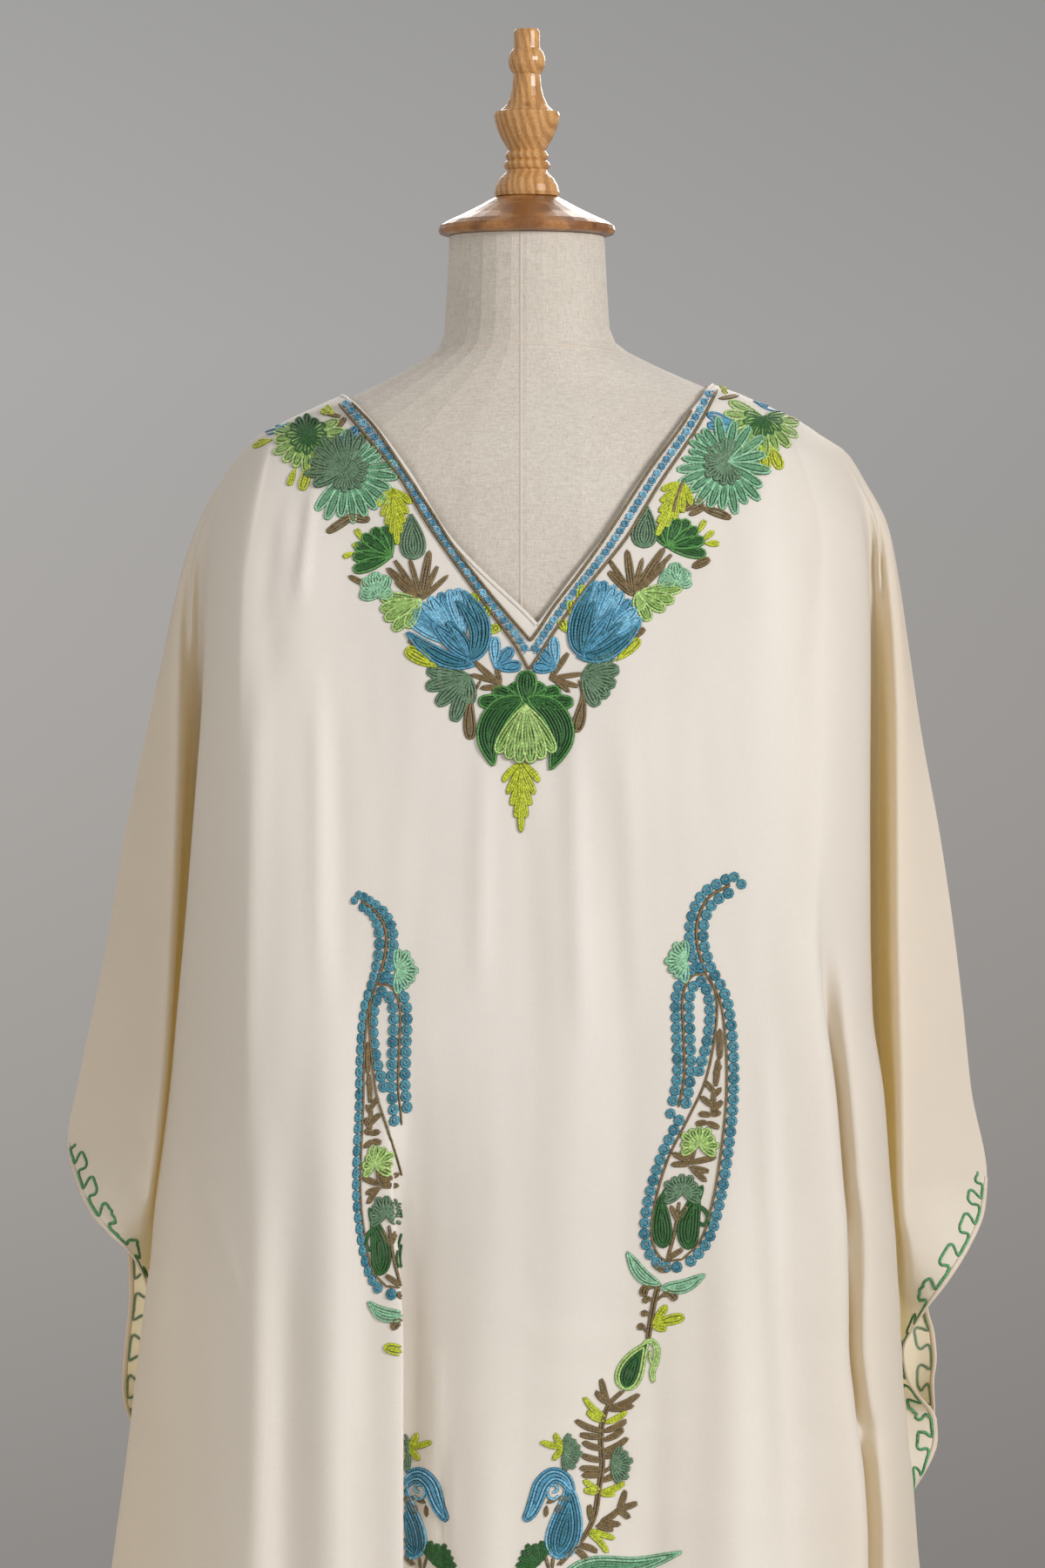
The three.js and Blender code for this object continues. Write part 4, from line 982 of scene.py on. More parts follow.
# the garland: sprays of petals or fingers from one base to each of their tips
# each row: thread, width, base, tips
SPRAYS = (
    ("lime", 4, (-132.5, 1384), ((-138.5, 1390.5), (-142, 1387))),
    ("brown", 2.5, (-140, 1385.5), ((-127, 1382.5),)),
    ("brown", 3.5, (-129.5, 1375.5), ((-125, 1382.5),)),
    ("blue", 5.5, (-165, 1377), ((-180.5, 1372), (-177, 1376), (-172, 1378.5))),
    ("lime", 3.5, (-176, 1366.5), ((-189, 1362), (-185.5, 1365))),
    ("blue", 5.5, (-129.5, 1363), ((-123.5, 1356), (-117.5, 1366), (-116, 1375.5))),
    ("pale_blue", 4, (-128.5, 1364.5), ((-125, 1373.5),)),
    ("brown", 4, (-137.5, 1357.5), ((-132, 1345.5),)),
    ("lime", 5, (-148, 1351.5), ((-138, 1343),)),
    ("lime", 6, (-149.5, 1350), ((-155, 1332),)),
    ("lime", 4, (-159.5, 1347), ((-164, 1335),)),
    ("brown", 5.5, (-119.5, 1315), ((-138, 1303),)),
    ("brown", 5.5, (-122, 1313.5), ((-108, 1312),)),
    ("lime", 3.5, (-114, 1298), ((-117.5, 1306),)),
    ("lime", 3.5, (-116, 1293), ((-120, 1295.5),)),
    ("lime", 3.5, (-119.5, 1289.5), ((-126.5, 1286),)),
    (("mid_green", "dark_green"), 7.5, (-93, 1286.5),
     ((-98, 1308), (-106, 1306.5), (-113.5, 1301.5), (-119, 1294.5), (-120, 1286.5), (-119.5, 1277))),
    ("brown", 3.5, (-111, 1267), ((-123, 1273.5),)),
    ("aqua", 8, (-102.5, 1258.5), ((-113, 1271.5), (-105, 1276), (-96.5, 1273.5), (-115, 1262),
                                   (-93, 1263))),
    ("brown", 5, (-73, 1257), ((-96.5, 1279), (-67, 1291), (-90.5, 1270))),
    ("brown", 3, (-72.5, 1257), ((-92, 1285.5), (-81, 1286), (-61, 1281), (-54, 1274))),
    (("light_green", "leaf_green"), 7.5, (-72.5, 1257),
     ((-101, 1258), (-101, 1250), (-98, 1243), (-92, 1235.5), (-83, 1237.5))),
    ("brown", 5, (-65.5, 1225), ((-82, 1229),)),
    ("lime", 8.5, (-62, 1210.5), ((-83.5, 1223),)),
    ("dusky", 8.5, (-39.5, 1205), ((-69, 1208), (-69.5, 1196.5), (-62, 1184.5), (-50.5, 1173), (-40, 1185))),
    ("brown", 3.5, (-17, 1197), ((-37, 1215), (-32.5, 1196))),
    ("brown", 3, (-18, 1199.5), ((-21, 1210.5), (-39, 1205.5))),
    ("pale_blue", 6.5, (-22, 1210), ((-22, 1231.5),)),
    ("blue", 7, (-22, 1210), ((-10, 1223.5), (-4, 1211.5))),
    ("lime", 6, (-35.5, 1249), ((-36.5, 1261.5),)),
    ("lime", 5.5, (-30, 1243.5), ((-26.5, 1252.5),)),
    ("lime", 5.5, (-26, 1234), ((-19, 1239),)),
    ("lime", 4, (132.5, 1403.5), ((138.5, 1399), (141, 1403))),
    ("brown", 2.5, (132.5, 1395), ((146, 1397.5),)),
    ("blue", 5.5, (156.5, 1393), ((173.5, 1388), (168.5, 1391.5), (162.5, 1394.5))),
    ("lime", 3.5, (179.5, 1385.5), ((191.5, 1381.5), (186.5, 1384.5))),
    ("brown", 3, (177, 1383), ((186, 1380),)),
    ("blue", 5.5, (142, 1379), ((124, 1384.5), (124, 1376.5), (137, 1367))),
    ("pale_blue", 4, (141, 1377), ((131, 1370),)),
    ("brown", 4, (140, 1368), ((135, 1360),)),
    ("brown", 4, (141, 1368), ((145, 1357),)),
    ("lime", 5.5, (158.5, 1363), ((147, 1357.5),)),
    ("lime", 7, (161.5, 1363), ((165, 1346.5),)),
    ("lime", 6.5, (167.5, 1363.5), ((175, 1346.5),)),
    ("brown", 5.5, (122, 1326), ((108, 1319),)),
    ("brown", 3.5, (122, 1320), ((111.5, 1315), (119, 1323))),
    ("brown", 5.5, (122, 1320), ((141, 1313),)),
    ("lime", 3.5, (118, 1303), ((123, 1312),)),
    ("lime", 3.5, (120.5, 1297), ((129, 1304.5),)),
    ("lime", 4, (122.5, 1295.5), ((132.5, 1295.5),)),
    (("mid_green", "dark_green"), 7.5, (96.5, 1293),
     ((90, 1306.5), (96, 1312), (104.5, 1313), (111.5, 1312), (118, 1306), (122.5, 1298), (123.5, 1288))),
    ("brown", 5.5, (114.5, 1279.5), ((126, 1285),)),
    ("aqua", 8, (103, 1267.5), ((93.5, 1276.5), (102, 1282.5), (110.5, 1277.5), (91, 1271.5),
                                (113, 1270.5))),
    ("brown", 5, (73, 1260), ((69, 1291.5), (95, 1293), (95.5, 1282.5), (56, 1276.5))),
    ("brown", 3, (73, 1260), ((56, 1285.5), (80, 1286), (101, 1289.5))),
    (("light_green", "leaf_green"), 7.5, (75.5, 1262),
     ((107, 1265), (101.5, 1256), (95, 1249.5), (84, 1242), (78, 1249))),
    ("brown", 5, (68, 1229), ((81.5, 1237),)),
    ("lime", 6, (62, 1215), ((78, 1230),)),
    ("dusky", 8.5, (38, 1205.5), ((60, 1220), (63.5, 1209), (61, 1198.5), (48.5, 1183.5), (56, 1190))),
    ("brown", 3.5, (16, 1202.5), ((29, 1221), (36, 1197))),
    ("brown", 3, (17.5, 1203), ((39.5, 1206), (30, 1193))),
    ("pale_blue", 6.5, (20, 1209), ((18, 1231.5),)),
    ("blue", 7, (20, 1209), ((8.5, 1223), (4, 1211))),
    ("lime", 6, (36, 1255), ((38.5, 1267),)),
    ("lime", 5.5, (30, 1246.5), ((30.5, 1257),)),
    ("lime", 5.5, (27, 1234.5), ((23, 1243.5),)),
)
# each row: thread, middle, from, to, petals, length
FLOWERS = (
    (("light_green", "leaf_green"), (-151, 1370), 150, 385, 13, 25),
    ("dark_green", (-151, 1370), 0, 360, 12, 14),
    (("aqua", "sea_green"), (-124, 1345.5), -128, 8, 10, 35),
    (("aqua", "sea_green"), (-124, 1345.5), 24, 50, 3, 27),
    ("dusky", (-124, 1345.5), 66, 204, 8, 27),
    ("dusky", (-124, 1345.5), -120, 40, 8, 15),
    (("light_green", "leaf_green"), (163, 1382), -205, 30, 13, 26.5),
    ("dark_green", (163, 1382), -190, 10, 9, 14.5),
    (("aqua", "sea_green"), (137, 1351), 188, 312, 9, 34),
    (("aqua", "sea_green"), (137, 1351), 136, 174, 4, 29),
    (("aqua", "sea_green"), (137, 1351), -34, 124, 8, 30),
    ("dusky", (137, 1351), 70, 310, 11, 16),
)
# each row: threads from the rim inwards, width, shape, middle line
BLADES = (
    (("dusky",), 18.5, "drop", ((-78, 1285), (-80, 1318.5))),
    (("dusky",), 18.5, "drop", ((80, 1293), (83, 1324))),
    (("brown",), 9, "bean", ((-32, 1201), (-38.5, 1188), (-39.5, 1174.5), (-39, 1160.5))),
    (("brown",), 9, "bean", ((36, 1201), (38.5, 1190), (37, 1178), (33.5, 1165.5))),
)
TULIPS = (
    # where its petals meet, then the tips of the petals behind
    ((-39.5, 1216.5), ((-81, 1243), (-78, 1249.5), (-74, 1255), (-67, 1259), (-60, 1262), (-53.5, 1264),
                       (-47.5, 1265))),
    ((38, 1219), ((48.5, 1270), (54, 1270), (60.5, 1267), (66, 1262.5), (71.5, 1257), (75.5, 1251),
                  (79, 1244.5))),
)
TULIP_FRONTS = (
    (("blue", "teal"), 12, "leaf", ((-36, 1211.5), (-54, 1215), (-70, 1224), (-84.5, 1236))),
    (("blue", "teal"), 11, "leaf", ((-41.5, 1213), (-32, 1223), (-30.5, 1241.5), (-38, 1255.5),
                                    (-46, 1265))),
    (("blue",), 11.5, "leaf", ((-38.5, 1216), (-51, 1227), (-67, 1242))),
    (("teal", "blue"), 9, "leaf", ((-38.5, 1216), (-45, 1228.5), (-56.5, 1243.5))),
    (("teal",), 8, "leaf", ((-38.5, 1216), (-35.5, 1234), (-42.5, 1249.5), (-51, 1258))),
    (("blue", "teal"), 12, "leaf", ((35, 1217.5), (51, 1219), (66.5, 1229), (80, 1243))),
    (("blue", "teal"), 11, "leaf", ((40, 1216.5), (33.5, 1227), (35.5, 1246.5), (47.5, 1271.5))),
    (("blue",), 11.5, "leaf", ((38, 1220), (50, 1235.5), (61, 1252))),
    (("teal", "blue"), 8, "leaf", ((37, 1220), (51, 1229), (68, 1243))),
    (("teal",), 8, "leaf", ((38, 1220), (41.5, 1240.5), (47.5, 1258))),
)
HEART = (
    # the heart of the garland, each over the one before: threads, width, shape, middle line
    (("mid_green", "dark_green"), 11.5, "petal", ((-1, 1185), (-11.5, 1199))),
    (("mid_green", "dark_green"), 11.5, "petal", ((-1, 1185), (-23.5, 1195))),
    (("mid_green", "dark_green"), 11.5, "petal", ((-1, 1185), (-33.5, 1187))),
    (("mid_green", "dark_green"), 11.5, "petal", ((0, 1185), (11.5, 1199))),
    (("mid_green", "dark_green"), 11.5, "petal", ((0, 1185), (23, 1195))),
    (("mid_green", "dark_green"), 11.5, "petal", ((0, 1185), (32, 1186.5))),
    (("mid_green", "dark_green"), 15, "petal", ((-0.5, 1183), (0, 1208))),
    (("mid_green", "dark_green"), 18.5, "leaf", ((-3, 1189.5), (-18.5, 1180), (-26.5, 1163.5), (-23, 1141))),
    (("mid_green", "dark_green"), 18.5, "leaf", ((0.5, 1189.5), (17, 1180), (24.5, 1163.5), (16, 1138.5))),
    (("light_green", "leaf_green"), 11, "petal", ((-1, 1185), (-21, 1151))),
    (("light_green", "leaf_green"), 11, "petal", ((-1, 1185), (19, 1151.5))),
    (("light_green", "leaf_green"), 11, "petal", ((-1, 1185), (-13, 1147))),
    (("light_green", "leaf_green"), 11, "petal", ((-1, 1185), (11, 1147))),
    (("light_green", "leaf_green"), 11, "petal", ((-1, 1185), (-5.5, 1144))),
    (("light_green", "leaf_green"), 11, "petal", ((-1, 1185), (3, 1144))),
)
for base, tips in TULIPS:
    for i, tip in enumerate(tips):
        blade("blue" if i % 3 == 1 else "pale_blue", 9, "petal", (mix(base, tip, 0.35), tip),
              lift=0.15 * (i % 2))
for rank, (colours, width, shape, points) in enumerate(TULIP_FRONTS):
    blade(colours, width, shape, points, lift=0.5 + 0.25 * (rank % 5))
beneath = {}
for colour, middle, start, stop, count, length in FLOWERS:
    flower(colour, middle, start, stop, count, length, lift=0.45 * beneath.get(middle, 0))
    beneath[middle] = beneath.get(middle, 0) + 1
for colour, width, base, tips in SPRAYS:
    for i, tip in enumerate(tips):
        if colour == "brown":
            blade(colour, width + 1, "finger", (base, tip))
        else:
            blade(colour, width * 1.3, "petal", (base, tip), lift=0.12 * (i % 3))
for colours, width, shape, points in BLADES:
    blade(colours, width, shape, points)
for rank, (colours, width, shape, points) in enumerate(HEART):
    blade(colours, width, shape, points, lift=0.12 * rank)

# leaves with a sawn edge: fingers from the top, each ending further down and further in
SAWN_LEAVES = (
    # base, tip, half width
    ((-92.5, 1333.5), (-89, 1294), 12),
    ((108.5, 1338), (89, 1300), 11.5),
    ((-4, 1146), (-4, 1096.5), 12.5),
)
for base, tip, half in SAWN_LEAVES:
    size = math.dist(base, tip)
    ux, uy = ((b - a) / size for a, b in zip(base, tip))
    for i, end in enumerate((0.3, 0.47, 0.63, 0.8)):
        for side in (1, -1):
            out = side * half * (1 - end) / 0.7
            foot = mix(base, tip, max(0, end - 0.42))
            bend = mix(base, tip, end - 0.1)
            blade("lime", 5.4, "petal", (foot, (bend[0] - uy * out * 0.75, bend[1] + ux * out * 0.75),
                                         (base[0] + ux * size * end - uy * out,
                                          base[1] + uy * size * end + ux * out)),
                  lift=0.1 * i + 0.05 * side)
    blade("lime", 5, "petal", (mix(base, tip, 0.1), mix(base, tip, 0.55)), lift=0.5)
    blade("lime", 5, "petal", (mix(base, tip, 0.45), tip), lift=0.6)
work("brown", curve(((107.5, 1338), (103, 1326), (100.5, 1317))), 3, lift=0.8)


# the hooked paisley on the right, and its twin on the left, cut by the pleat's edge
def twin_left(u, v):
    axis = 10 - 5 * ease(930, 850, v)
    spot = 2 * axis - u
    fall = -7 - 0.058 * (999 - v) - 0.3 * max(0, v - 1035)
    # further out the cloth turns away, which narrows the drawing
    if spot < -104:
        spot = -104 + (spot + 104) * 0.62
    edge = PLEAT_EDGE + 1 + 12 * ease(890, 915, v + fall)
    return (spot, v + fall) if spot < edge else None


HOOK = ((140, 1060.5), (125, 1051.5), (117.5, 1035), (117.5, 1019), (123.5, 999))
BRANCH = ((123.5, 999), (114.5, 998), (108, 986.5), (108, 956), (108.5, 929), (104.5, 907.5))
DROP_RIGHT = ((123.5, 999), (132.5, 982.5), (137, 953), (137.5, 913.5), (134, 878), (128, 842),
              (119.5, 815.5), (107, 802.5))
DROP_LEFT = ((107, 802.5), (94, 802.5), (86.5, 815), (87.5, 837), (97, 871), (111, 899.5), (122.5, 924),
             (129, 953), (131, 977), (128.5, 991), (124, 998))
SLIT = ((126, 993), (129.5, 980), (128, 954), (121, 928))
PAISLEY_BLADES = (
    # threads, width, shape, middle line
    (("brown",), 4.9, "finger", ((133, 961), (133, 940))),
    (("brown",), 4.6, "finger", ((132, 941), (130, 921))),
    (("brown",), 4.0, "finger", ((129, 920), (128, 903))),
    (("brown",), 4.2, "finger", ((129, 930), (134, 937))),
    (("brown",), 4.2, "finger", ((129, 918), (122, 926))),
    (("brown",), 4.2, "finger", ((129, 915), (134, 921))),
    (("brown",), 4.6, "finger", ((128, 908), (119.5, 915))),
    (("brown",), 4.6, "finger", ((128, 905), (135, 912))),
    (("brown",), 4.6, "finger", ((127, 902), (118, 903))),
    (("brown",), 4.6, "finger", ((127, 902), (134, 904))),
    (("brown",), 4.6, "finger", ((124, 897), (116, 896))),
    (("brown",), 4.6, "finger", ((124, 897), (133, 893))),
    (("brown",), 4.6, "finger", ((112, 872), (108, 884))),
    (("brown",), 4.6, "finger", ((112, 870), (100, 876))),
    (("brown",), 4.6, "finger", ((112, 868), (99, 868))),
    (("brown",), 4.6, "finger", ((112, 868), (116, 882))),
    (("brown",), 4.6, "finger", ((112, 869), (131, 873))),
    (("brown",), 4.6, "finger", ((112, 866), (126, 863))),
    (("brown",), 4.6, "finger", ((113, 866), (124, 856))),
    (("dark_green",), 14.5, "drop", ((94, 811), (93, 826), (92.5, 840), (94, 852))),
    (("dark_green",), 4.6, "finger", ((94, 834), (94, 844), (97, 853))),
    (("dark_green",), 16, "drop", ((111, 810), (111.5, 826), (115, 841), (120, 857))),
    (("dark_green",), 5, "finger", ((114, 836), (118, 845), (121, 854))),
    (("dark_green",), 3.6, "finger", ((116, 840), (122, 837), (125, 831), (122, 826), (118, 829))),
    (("brown",), 3.2, "finger", ((97, 803), (102, 822), (105, 842))),
    (("brown",), 4.2, "finger", ((104, 829), (99, 840))),
    (("brown",), 4.2, "finger", ((104, 829), (111, 840))),
    (("brown",), 4.2, "finger", ((97, 803), (108, 810))),
    (("brown",), 5, "finger", ((95, 794), (87, 800))),
    (("brown",), 5, "finger", ((95, 794), (99, 799))),
    (("aqua",), 10, "leaf", ((92, 785), (80, 791), (68, 809))),
    (("aqua",), 10, "leaf", ((92, 783), (108, 784), (124, 793))),
    (("brown",), 6.5, "bean", ((91, 782), (87, 784), (81, 782), (80.5, 777))),
    (("brown",), 6.5, "bean", ((89, 774), (94, 778), (99, 779), (103, 774.5))),
    (("brown",), 5, "bean", ((87, 773), (84, 776), (80, 773))),
    (("brown",), 5, "bean", ((85, 763), (82, 766), (79, 764))),
    (("brown",), 5, "bean", ((83, 752), (79, 757), (77, 754))),
    (("lime",), 6, "petal", ((86.5, 758), (96.5, 771))),
    (("lime",), 8, "petal", ((86.5, 758), (108.5, 763))),
    (("lime",), 6, "petal", ((86.5, 756), (96.5, 755))),
    # the small paisley, pale round a dark heart, with its hooked tail
    (("light_green", "light_green", "dark_green"), 19.5, "drop",
     ((67.5, 713), (70.5, 724), (76.5, 736), (82, 743.5), (86, 747))),
    (("light_green",), 5.2, "finger", ((80, 745), (85.5, 746.5), (89.5, 741.5), (89, 733), (86.5, 725),
                                       (87.5, 717))),
    (("light_green",), 3, "finger", ((85, 740), (84.5, 735), (86.5, 730))),
)
SCROLL = ((91, 786), (87.5, 772), (85, 758), (83.5, 748))
FERN_STEM = ((66, 712), (57, 703), (52, 690), (51, 676), (52, 662), (49.5, 644), (46.5, 626), (39, 611),
             (22, 592))
# each row: thread, foot, tip
FERN = (
    ("brown", (57, 702), (51, 721)), ("brown", (58, 703), (47, 712)), ("brown", (57, 700), (78, 710)),
    ("brown", (57, 699), (74, 702)), ("lime", (54, 694), (39, 708)), ("lime", (53, 691), (41, 698)),
    ("lime", (54, 690), (69, 698)), ("brown", (52, 684), (33, 692)), ("brown", (52, 680), (36, 682)),
    ("brown", (53, 684), (69, 692)), ("brown", (53, 678), (67, 686)), ("brown", (52, 672), (38, 677)),
    ("brown", (52, 670), (70, 680)), ("brown", (52, 664), (37, 668)), ("brown", (53, 666), (66, 673)),
    ("brown", (51, 658), (36, 659)), ("brown", (51, 654), (37.5, 654)), ("brown", (51, 650), (64, 657)),
    ("lime", (50, 644), (39, 651)), ("lime", (49, 642), (39, 644)), ("lime", (51, 642), (68, 649)),
    ("lime", (51, 641), (61, 641)), ("brown", (45, 622), (43, 634)), ("brown", (51, 622), (64, 631)),
    ("brown", (63, 631), (68, 644)), ("brown", (63, 631), (76.5, 635)), ("brown", (62, 630), (71, 624)),
    ("brown", (50, 621), (65, 620)), ("brown", (48, 619), (60, 616)), ("lime", (43, 615), (52, 614)),
    ("lime", (43, 615), (61, 610)), ("lime", (43, 614), (56, 600)), ("brown", (36, 606), (49, 601)),
    ("brown", (33, 603), (42, 595)), ("lime", (26, 673), (9, 677)), ("lime", (26, 673), (19, 683)),
    ("lime", (26, 672), (18, 664)), ("brown", (24, 634), (20, 627)), ("brown", (22, 638), (29, 637)),
)


def lower_twin(u, v):
    spot = 2 * -28 - u
    return (spot, v) if spot > PLEAT_EDGE + 2.6 else None


def paisley(twin):
    for line in (HOOK, BRANCH, DROP_RIGHT, DROP_LEFT):
        work("brown", curve(line), 2.3 if line is HOOK else 1.8, twin)
    for line, offset, start in ((HOOK, 4.6, 0.5), (HOOK, -4.6, 0.1), (BRANCH, 4.6, 0.5), (BRANCH, -4.6, 0.5),
                                (DROP_RIGHT, 4.9, 0.5), (DROP_LEFT[:6], 4.9, 0.5), (SLIT, -3.4, 0.5)):
        beads(line, offset, 7.3, 4.0, twin, "bead", start)
    for middle in ((148, 1061), (143, 1066), (99, 903)):
        coil("bead", middle, 3.7, twin)
    for colours, width, shape, points in PAISLEY_BLADES:
        blade(colours, width, shape, points, twin)
    for shift in (-1, 1):
        work("brown", [(u + shift, v) for u, v in curve(SCROLL)], THREAD, twin)
    flower(("light_green", "leaf_green"), (118.5, 881), -30, 205, 9, 13.5, twin, 0.2)
    flower("dusky", (107, 848), -25, 205, 9, 13.5, twin, 0.2)
    flower("aqua", (110, 1008), 95, 265, 7, 14.5, twin, 0.2)


def fern(twin):
    for shift in (-1, 1):
        work("brown", [(u + shift, v) for u, v in curve(FERN_STEM)], THREAD, twin)
    for colour, foot, tip in FERN:
        bend = (foot[0] + (tip[0] - foot[0]) * 0.55, foot[1] + (tip[1] - foot[1]) * 0.4)
        blade(colour, 4.9, "finger", (foot, bend, tip), twin)
    flower("dusky", (25, 669.5), -80, 72, 7, 13, twin, 0.3)
    flower("dusky", (58, 661.5), -66, 62, 6, 14.5, twin, 0.3)
    work("brown", ((51, 655), (59, 660)), 2.8, twin)
    flower("dark_green", (8.5, 593), 62, 205, 8, 15.5, twin)
    # the swan-necked paisley: blue rows round a teal heart, its neck bent over and down
    blade(("pale_blue", "blue", "teal", "blue", "teal"), 25, "drop",
          ((20.5, 597), (25.5, 613), (28.5, 629), (29, 643), (25, 653)), twin)
    blade(("blue", "pale_blue", "blue"), 11.5, "finger",
          ((31.5, 642), (25.5, 651.5), (18, 654), (10.5, 648), (6.5, 637.5), (3, 629), (-1.5, 622.5)),
          twin, 0.3)
    work("pale_blue", curve(((22, 640), (18, 637), (14, 641), (15.5, 646.5), (20, 647), (21, 643.5),
                             (18, 642))),
         2.4, twin, lift=0.3)
    blade("brown", 3.6, "finger", ((14, 635), (21, 638)), twin)
    blade("brown", 3.6, "finger", ((13.5, 632.5), (13, 625)), twin)
    blade("brown", 3.2, "finger", ((15, 590), (12.5, 599)), twin)
    blade("brown", 3.2, "finger", ((17.5, 590), (18, 597)), twin)

    # long leaves that run on below
    blade(("aqua", "aqua", "sea_green"), 14, "leaf", ((12, 570), (40, 590), (76, 592), (110, 602)), twin)


paisley(None)
paisley(twin_left)
fern(None)
fern(lower_twin)


# The cuffs carry one thick row that winds like a key pattern along their hem. It
# shows as a thin row on the cloth's other side. The hem itself is turned narrowly.
KEY = ((0, 0.3), (7.5, 0), (15, 0.2), (18.3, 1.5), (17.5, 4), (15.8, 7), (17.8, 9.3), (24, 10), (30.5, 9.8),
       (32.5, 8), (31, 4.5))
KEY_LENGTH = 28.5
KEY_INSET = 3.4


def cuff_edge(halves, heights, side):
    """The cuff's edge, from the underarm up, as places and the run along it to each."""
    half = halves[side > 0]
    line = [row[0] for row, z in zip(half,
                                     heights) if UNDERARMS[side > 0] + 2 <= z <= CUFF_TOPS[side > 0]][::-1]
    runs = [0]
    for a, b in zip(line, line[1:]):
        runs.append(runs[-1] + (b - a).length)
    return line, runs


def at_run(line, runs, run):
    run = min(runs[-1], max(0, run))
    k = max(i for i in range(len(runs) - 1) if runs[i] <= run)
    a, b = line[k], line[k + 1]
    before, after = line[max(0, k - 1)], line[min(len(line) - 1, k + 2)]
    return a.lerp(b, (run - runs[k]) / (runs[k + 1] - runs[k])), (after - before).normalized()


def beside(skin, line, runs, run, inward, middle):
    """The place on the cloth so far in from the edge, and its normal away from the form."""
    place, along = at_run(line, runs, run)
    near, normal, _, _ = skin.find_nearest(place * MM)
    across = normal.cross(along).normalized()
    if across.dot(middle - place) < 0:
        across = -across
    near, normal, _, _ = skin.find_nearest((place + across * inward) * MM)
    return near, normal


hem_places, hem_faces = [], []


def turn_in(skin, line, runs, inner, width=2.6, step=5):
    """A narrow turned hem: a flat tube, six faces round, along an edge of the cloth."""
    count, first = max(2, round(runs[-1] / step)), len(hem_places)
    for i in range(count + 1):
        run = runs[-1] * i / count
        edge, _ = beside(skin, line, runs, run, 0.2, inner(run))
        fold, normal = beside(skin, line, runs, run, width, inner(run))
        out = (edge - fold).normalized()
        for reach, up in ((-0.2, 0), (0.6, 0.5), (0.9, 0.65), (1.27, 0), (0.9, -0.65), (0.6, -0.5)):
            reach = reach * width if up == 0 or reach > 0.7 else reach
            hem_places.append(fold + out * reach * MM + normal * up * MM)
        if i:
            for c in range(6):
                a, b = first + 6 * (i - 1) + c, first + 6 * (i - 1) + (c + 1) % 6
                hem_faces.append((a, b, b + 6, a + 6))


for behind, halves, heights, skin in ((False, front_halves, front_heights, front_skin),
                                      (True, back_halves, back_heights, back_skin)):
    for side in (-1, 1):
        line, runs = cuff_edge(halves, heights, side)
        rows = halves[side > 0]

        def inner(run):
            """A place further in on the same cloth, to tell which way is inward."""
            place, _ = at_run(line, runs, run)
            row = min(range(len(heights)), key=lambda r: (rows[r][0] - place).length)
            return rows[row][12]

        key = []
        for k in range(int(runs[-1] / KEY_LENGTH) + 1):
            key += [(KEY_LENGTH * k + s, KEY_INSET + n) for s, n in KEY if KEY_LENGTH * k + s < runs[-1] - 3]
        drawn = stepped(curve(key, 5), 1.5)
        spots = [beside(skin, line, runs, s, n, inner(s)) for s, n in drawn]
        outward = [(p, n if (n.y > 0) == behind else -n) for p, n in spots]
        sew("hem_green", outward, 2.3)
        sew("hem_green", [(p, -n) for p, n in outward], 1.0, 0.3)
        turn_in(skin, line, runs, inner)

# the band goes on round the back of the neck
for side in (-1, 1):
    rows = [row for row, z in zip(back_halves[side > 0], back_heights) if z >= BACK_NECK]
    edge = [row[-1] for row in rows]
    edge = [edge[0] + (edge[0] - edge[1]) * 0.4, *edge]
    runs = [0]
    for a, b in zip(edge, edge[1:]):
        runs.append(runs[-1] + (b - a).length)
    further = Vector((150 * side, 300, 1300))

    def on_band(run, shift):
        """The place so far out from the neck's edge, and its normal away from the form."""
        place, along = at_run(edge, runs, run)
        out = further - place
        out = (out - along * out.dot(along)).normalized()
        near, normal, _, _ = back_skin.find_nearest((place + out * shift) * MM)
        return near, normal if normal.y + 2 * normal.z > 0 else -normal

    for shift in (5, 15):
        sew("brown", [on_band(runs[-1] * i / 60, shift) for i in range(61)], 1.8)
    count = round(runs[-1] / 6)
    for k in range(count):
        ring = []
        for i in range(15):
            angle, r = 1.9 * math.tau * i / 14, 2.5 * (1 - 0.06 * i)
            ring.append(on_band(runs[-1] * (k + 0.5) / count + r * math.cos(angle),
                                10 + r * math.sin(angle)))
        sew("blue" if k % 3 else "pale_blue", ring, 1.5)


def new_piece(name, places, faces, material):
    mesh = bpy.data.meshes.new(name)
    mesh.from_pydata(places, [], faces)
    mesh.update()
    for polygon in mesh.polygons:
        polygon.use_smooth = True
    mesh.materials.append(material)
    piece = bpy.data.objects.new(name, mesh)
    bpy.context.scene.collection.objects.link(piece)
    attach(piece, "root")
    return piece


# the neck opening and the bottom edge are turned in the same way
for halves, heights, skin, neck in ((front_halves, front_heights, front_skin, V_BOTTOM),
                                    (back_halves, back_heights, back_skin, BACK_NECK)):
    for rows, outer in ((halves[0], -300), (halves[1], 300)):
        edge = [row[-1] for row, z in zip(rows, heights) if z >= neck]
        for line, further in ((edge, Vector((outer, 0, 900))), (rows[-1], Vector((0, 0, 900)))):
            runs = [0]
            for a, b in zip(line, line[1:]):
                runs.append(runs[-1] + (b - a).length)
            turn_in(skin, line, runs, lambda run: further, 2.2, 6)


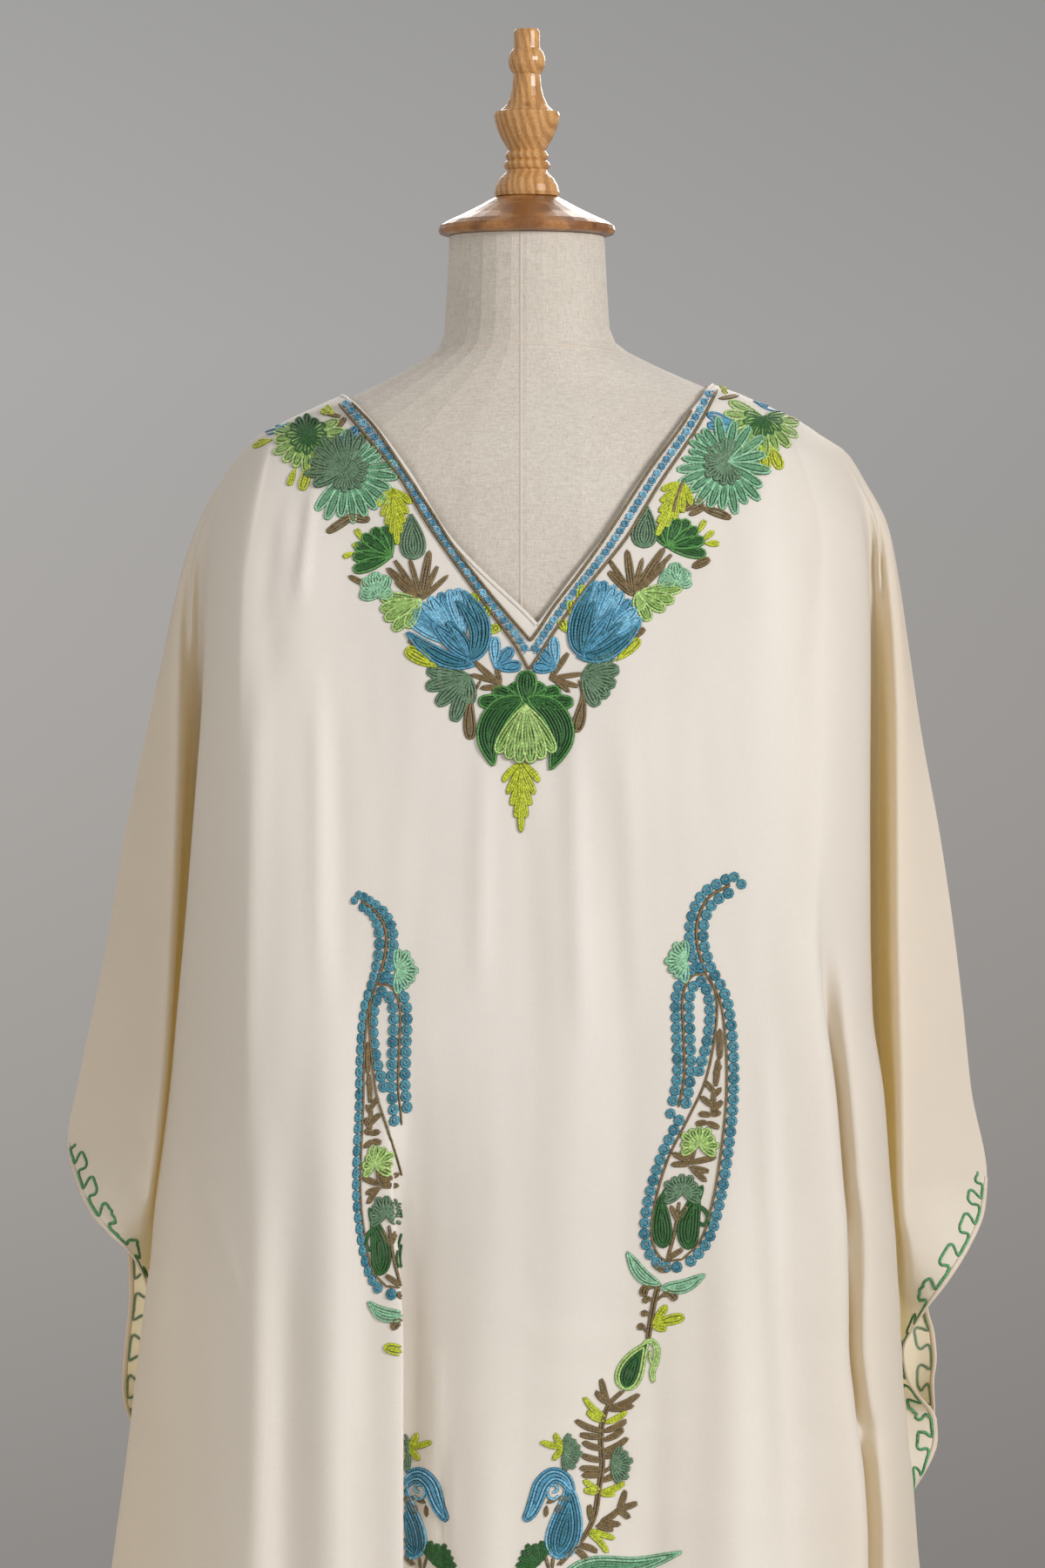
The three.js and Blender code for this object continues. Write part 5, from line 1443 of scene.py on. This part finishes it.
new_piece("turned_hems", hem_places, hem_faces, ivory)
for name, colour in THREADS:
    places, faces, measures = sewn[name]
    silk = fresh("thread_" + name, 0.5)
    silk.node_tree.nodes["Principled BSDF"].inputs["Sheen Weight"].default_value = 0.08
    made = join(
        silk,
        ("measure", "ShaderNodeUVMap", {"uv_map": "stitch"}, {}),
        ("spot", "ShaderNodeSeparateXYZ", {}, {0: "measure.0"}),
        ("side", "ShaderNodeMath", {"operation": "MULTIPLY_ADD"}, {0: "spot.1", 1: 2.0, 2: -1.0}),
        ("off", "ShaderNodeMath", {"operation": "ABSOLUTE"}, {0: "side.0"}),
        ("swept", "ShaderNodeMath", {"operation": "MULTIPLY_ADD"}, {0: "off.0", 1: -0.5, 2: "spot.0"}),
        ("phase", "ShaderNodeMath", {"operation": "FRACT"}, {0: "swept.0"}),
        # the chain's links: the gap between one link and the next is painted darker, a painted shade in the hollow
        # between links
        ("link", "ShaderNodeValToRGB", {}, {"Fac": "phase.0"}),
        ("place", "ShaderNodeTexCoord", {}, {}),
        # lighter and darker specks at the scale of the stitches: partly the thread's own uneven tone, partly
        # painted highlights for the silk's sheen
        ("cloud", "ShaderNodeTexNoise", {}, {"Vector": "place.Object", "Scale": 420.0, "Detail": 2.0}),
        ("tone", "ShaderNodeValToRGB", {}, {"Fac": "cloud.0"}),
        # each row is painted darker towards its edges and lighter along its crown: painted shade between the rows
        # and a painted highlight on top
        ("brink", "ShaderNodeMapRange", {}, {"Value": "off.0", 1: 0.35, 2: 0.95, 3: 1.12, 4: 0.25}),
        ("linked", "ShaderNodeMix", {"data_type": "RGBA", "blend_type": "MULTIPLY"},
         {0: 1.0, 6: "tone.0", 7: "link.0"}),
        ("dyed_with_painted_shade", "ShaderNodeMix", {"data_type": "RGBA", "blend_type": "MULTIPLY"},
         {0: 1.0, 6: "linked.2", 7: "brink.0"}),
        ("bump", "ShaderNodeBump", {}, {"Height": "link.0", "Strength": 0.6, "Distance": 0.0006}),
    )
    ramp(made["link"], (0.0, (0.5, 0.5, 0.5)), (0.3, (1, 1, 1)))
    ramp(made["tone"], (0.3, tuple(0.75 * c for c in colour)), (0.7, tuple(min(1, 1.5 * c) for c in colour)))
    link(silk, made, "dyed_with_painted_shade", "Base Color", 2)
    link(silk, made, "bump", "Normal")
    piece = new_piece("embroidery_" + name, places, faces, silk)
    layer = piece.data.uv_layers.new(name="stitch")
    for loop in piece.data.loops:
        layer.data[loop.index].uv = measures[loop.vertex_index]

# both sheets get the ivory cloth and hang from the root, as the hems and embroidery do, in place of the frame's
# front and back
for sheet, node in ((front_sheet, "front"), (back_sheet, "back")):
    sheet.data.materials.append(ivory)
    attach(sheet, "root")
    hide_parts(node)
